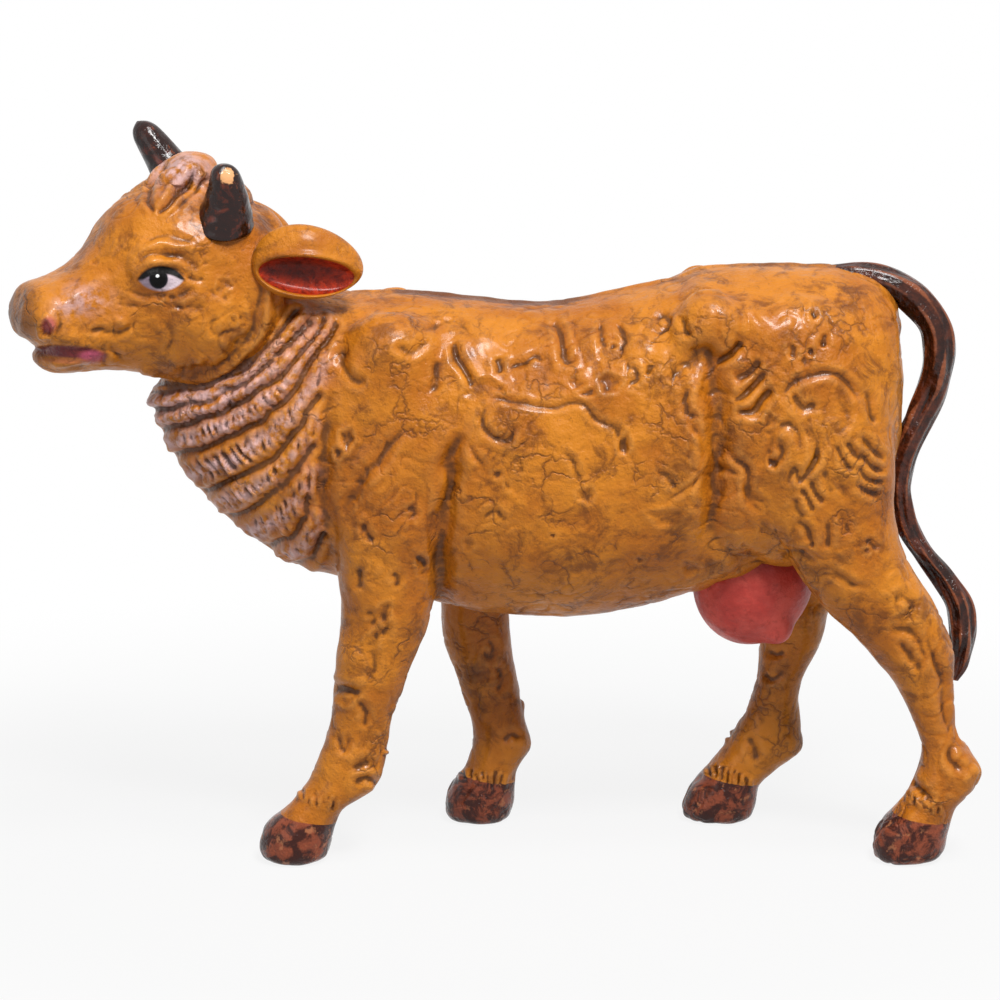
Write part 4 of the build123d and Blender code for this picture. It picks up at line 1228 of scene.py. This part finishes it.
# tail: a tube along its line, streaked with hair, ending in a switch
tail = {
    # x, y, z, radius
    "rows": [
        (43.6, 0.0, 78.0, 1.5), (47.6, 0.0, 77.9, 1.9), (51.8, 0.0, 77.2, 2.1), (55.6, 0.0, 75.0, 2.15),
        (58.2, 0.0, 71.6, 2.15),
        (59.0, 0.0, 67.6, 2.15), (58.3, -0.1, 63.2, 2.05), (56.4, -0.2, 58.6, 1.95),
        (54.5, -0.3, 53.8, 1.8), (54.0, -0.4, 49.0, 1.65),
        (55.0, -0.5, 44.2, 1.5), (57.4, -0.8, 40.2, 1.4), (60.2, -1.0, 36.8, 1.5), (62.2, -1.2, 33.2, 1.8),
        (62.8, -1.4, 29.0, 1.8),
        (62.4, -1.6, 25.2, 1.3), (61.8, -1.6, 22.8, 0.55)],
}


def tailMaterial():
    box = PaintBox("tailPaint")
    col = box.blend(box.ramp(box.grain(300, 5, 0.65, 0.4), 0.4, 0.66), paint(38, 13, 6), paint(86, 38, 20))
    # lighter streaks on the strands: part worn paint, part painted highlight
    streaks = box.ramp(box.frayed("wearAndHighlight", 0.6, 800, 4, 0.7), 0.72, 1.05, 0.0, 0.7)
    col = box.blend(streaks, col, paint(150, 84, 52))
    col = box.blend(box.ramp(box.mark("washAndShade"), 0.2, 0.9, 0.0, 0.85), col, paint(20, 6, 3))
    box.link(col, box.shader.inputs["Base Color"])
    box.link(box.ramp(box.grain(700, 4), 0.3, 0.7, 0.12, 0.26), box.shader.inputs["Roughness"])
    box.varnish(0.25, 0.1, 0.2)
    box.bump(box.grain(480, 4, 0.55), 0.0009, 0.9)
    return box.mat


def makeTail():
    rows = smoothRows(tail["rows"], 12)
    rings = []
    count = 64
    angle = np.linspace(0, 2 * math.pi, count, endpoint=False)
    for i, (x, y, z, r) in enumerate(rows):
        p = np.array([x, y, z])
        ahead = rows[min(i + 1, len(rows) - 1)][:3] - rows[max(i - 1, 0)][:3]
        ahead /= np.linalg.norm(ahead)
        across = np.array([0, 1.0, 0]) - ahead * ahead[1]
        across /= np.linalg.norm(across)
        third = np.cross(ahead, across)
        t = i / (len(rows) - 1)
        twist = t * 5.0
        hair = 0.05 * np.sin(5 * angle + twist * 3) + 0.04 * np.sin(9 * angle - twist * 4 + 1.3)
        hair += 0.06 * np.sin(3 * angle + 34 * t)
        hair += 0.05 * np.sin(58 * t + 2 * angle)
        radius = r * (1 + hair * (0.55 + 0.6 * t))
        rings.append(p + np.outer(np.cos(angle) * radius, across) + np.outer(np.sin(angle) * radius, third))
    ob = tubeThrough("tail_moulding", rings)
    refine(ob)
    co, no = readMesh(ob)
    # hollows between the hair strands get painted shade, their ridges a lighter paint that is part wear, part
    # painted highlight
    dip = hollows(ob, co, no, 2)
    storeMark(ob, "washAndShade", np.clip(dip / 0.004, 0, 1))
    storeMark(ob, "wearAndHighlight", np.clip(-dip / 0.006, 0, 1))
    settle(ob, tailMaterial(), "tail", "tail")


makeTail()
print("stage: tail")


# dowels stay as they are, in bare moulding material
def dowelMaterial():
    box = PaintBox("bareMoulding")
    col = box.blend(box.ramp(box.grain(400, 5), 0.35, 0.65), paint(204, 148, 98), paint(224, 170, 118))
    box.link(col, box.shader.inputs["Base Color"])
    box.link(box.ramp(box.grain(900, 3), 0.3, 0.7, 0.5, 0.7), box.shader.inputs["Roughness"])
    box.bump(box.grain(1500, 3), 0.0002, 0.5)
    return box.mat


bareMat = dowelMaterial()
for ob in bpy.data.objects:
    if ob.type == "MESH" and "dowels" in ob.name:
        ob.data.materials.clear()
        ob.data.materials.append(bareMat)


# stage: pale floor, white surroundings and soft lights
stageSetup = {
    "ambient": 0.055,
    # name, place in metres, size, watts
    "lamps": [
        ("keyPanel", (0.18, -0.47, 0.68), 0.18, 5.5),
        ("topPanel", (0.18, -0.22, 0.75), 0.24, 2.8),
        ("fillPanel", (-0.5, -0.6, 0.25), 0.4, 0.6),
    ],
}


def backdropRays(tree):
    # rays that see the white backdrop: the camera's, and those off or through shiny paint
    rays = tree.nodes.new("ShaderNodeLightPath")
    total = rays.outputs["Is Camera Ray"]
    for kind in ("Is Glossy Ray", "Is Transmission Ray"):
        either = tree.nodes.new("ShaderNodeMath")
        either.operation = "MAXIMUM"
        tree.links.new(total, either.inputs[0])
        tree.links.new(rays.outputs[kind], either.inputs[1])
        total = either.outputs[0]
    return total


def addStage():
    bpy.ops.object.select_all(action="DESELECT")
    bpy.ops.mesh.primitive_plane_add(size=12, location=(0, 0, 0))
    floor = bpy.context.object
    floor.name = "paleFloor"
    mat = bpy.data.materials.new("paleFloor")
    mat.use_nodes = True
    tree = mat.node_tree
    base = tree.nodes["Principled BSDF"]
    base.inputs["Base Color"].default_value = (0.5, 0.5, 0.5, 1)
    base.inputs["Roughness"].default_value = 0.9
    base.inputs["Specular IOR Level"].default_value = 0.1
    glow = tree.nodes.new("ShaderNodeEmission")
    glow.inputs["Color"].default_value = (1, 1, 1, 1)
    # near the hooves the floor keeps a faint shadow, farther off it is white to the camera
    coords = tree.nodes.new("ShaderNodeTexCoord")
    reach = tree.nodes.new("ShaderNodeVectorMath")
    reach.operation = "LENGTH"
    tree.links.new(coords.outputs["Object"], reach.inputs[0])
    fade = tree.nodes.new("ShaderNodeMapRange")
    fade.interpolation_type = "SMOOTHSTEP"
    for key, number in (("From Min", 0.06), ("From Max", 0.16), ("To Min", 0.88), ("To Max", 1.0)):
        fade.inputs[key].default_value = number
    tree.links.new(reach.outputs["Value"], fade.inputs["Value"])
    share = tree.nodes.new("ShaderNodeMath")
    share.operation = "MULTIPLY"
    tree.links.new(backdropRays(tree), share.inputs[0])
    tree.links.new(fade.outputs["Result"], share.inputs[1])
    mix = tree.nodes.new("ShaderNodeMixShader")
    tree.links.new(share.outputs[0], mix.inputs[0])
    tree.links.new(base.outputs[0], mix.inputs[1])
    tree.links.new(glow.outputs[0], mix.inputs[2])
    tree.links.new(mix.outputs[0], tree.nodes["Material Output"].inputs["Surface"])
    floor.data.materials.append(mat)
    world = bpy.data.worlds.new("paleRoom")
    bpy.context.scene.world = world
    world.use_nodes = True
    tree = world.node_tree
    light = tree.nodes["Background"]
    light.inputs["Color"].default_value = (1, 1, 1, 1)
    level = tree.nodes.new("ShaderNodeMapRange")
    level.inputs["To Min"].default_value = stageSetup["ambient"]
    level.inputs["To Max"].default_value = 1.0
    tree.links.new(backdropRays(tree), level.inputs["Value"])
    tree.links.new(level.outputs["Result"], light.inputs["Strength"])
    for name, place, size, watts in stageSetup["lamps"]:
        bpy.ops.object.light_add(type="AREA", location=place)
        lamp = bpy.context.object
        lamp.name = name
        lamp.data.size = size
        lamp.data.energy = watts
        lamp.rotation_euler = (Vector((0, 0, 0.05)) - Vector(place)).to_track_quat("-Z", "Y").to_euler()
    bpy.context.scene.view_settings.view_transform = "Standard"


addStage()
print("stage: floor and lights")
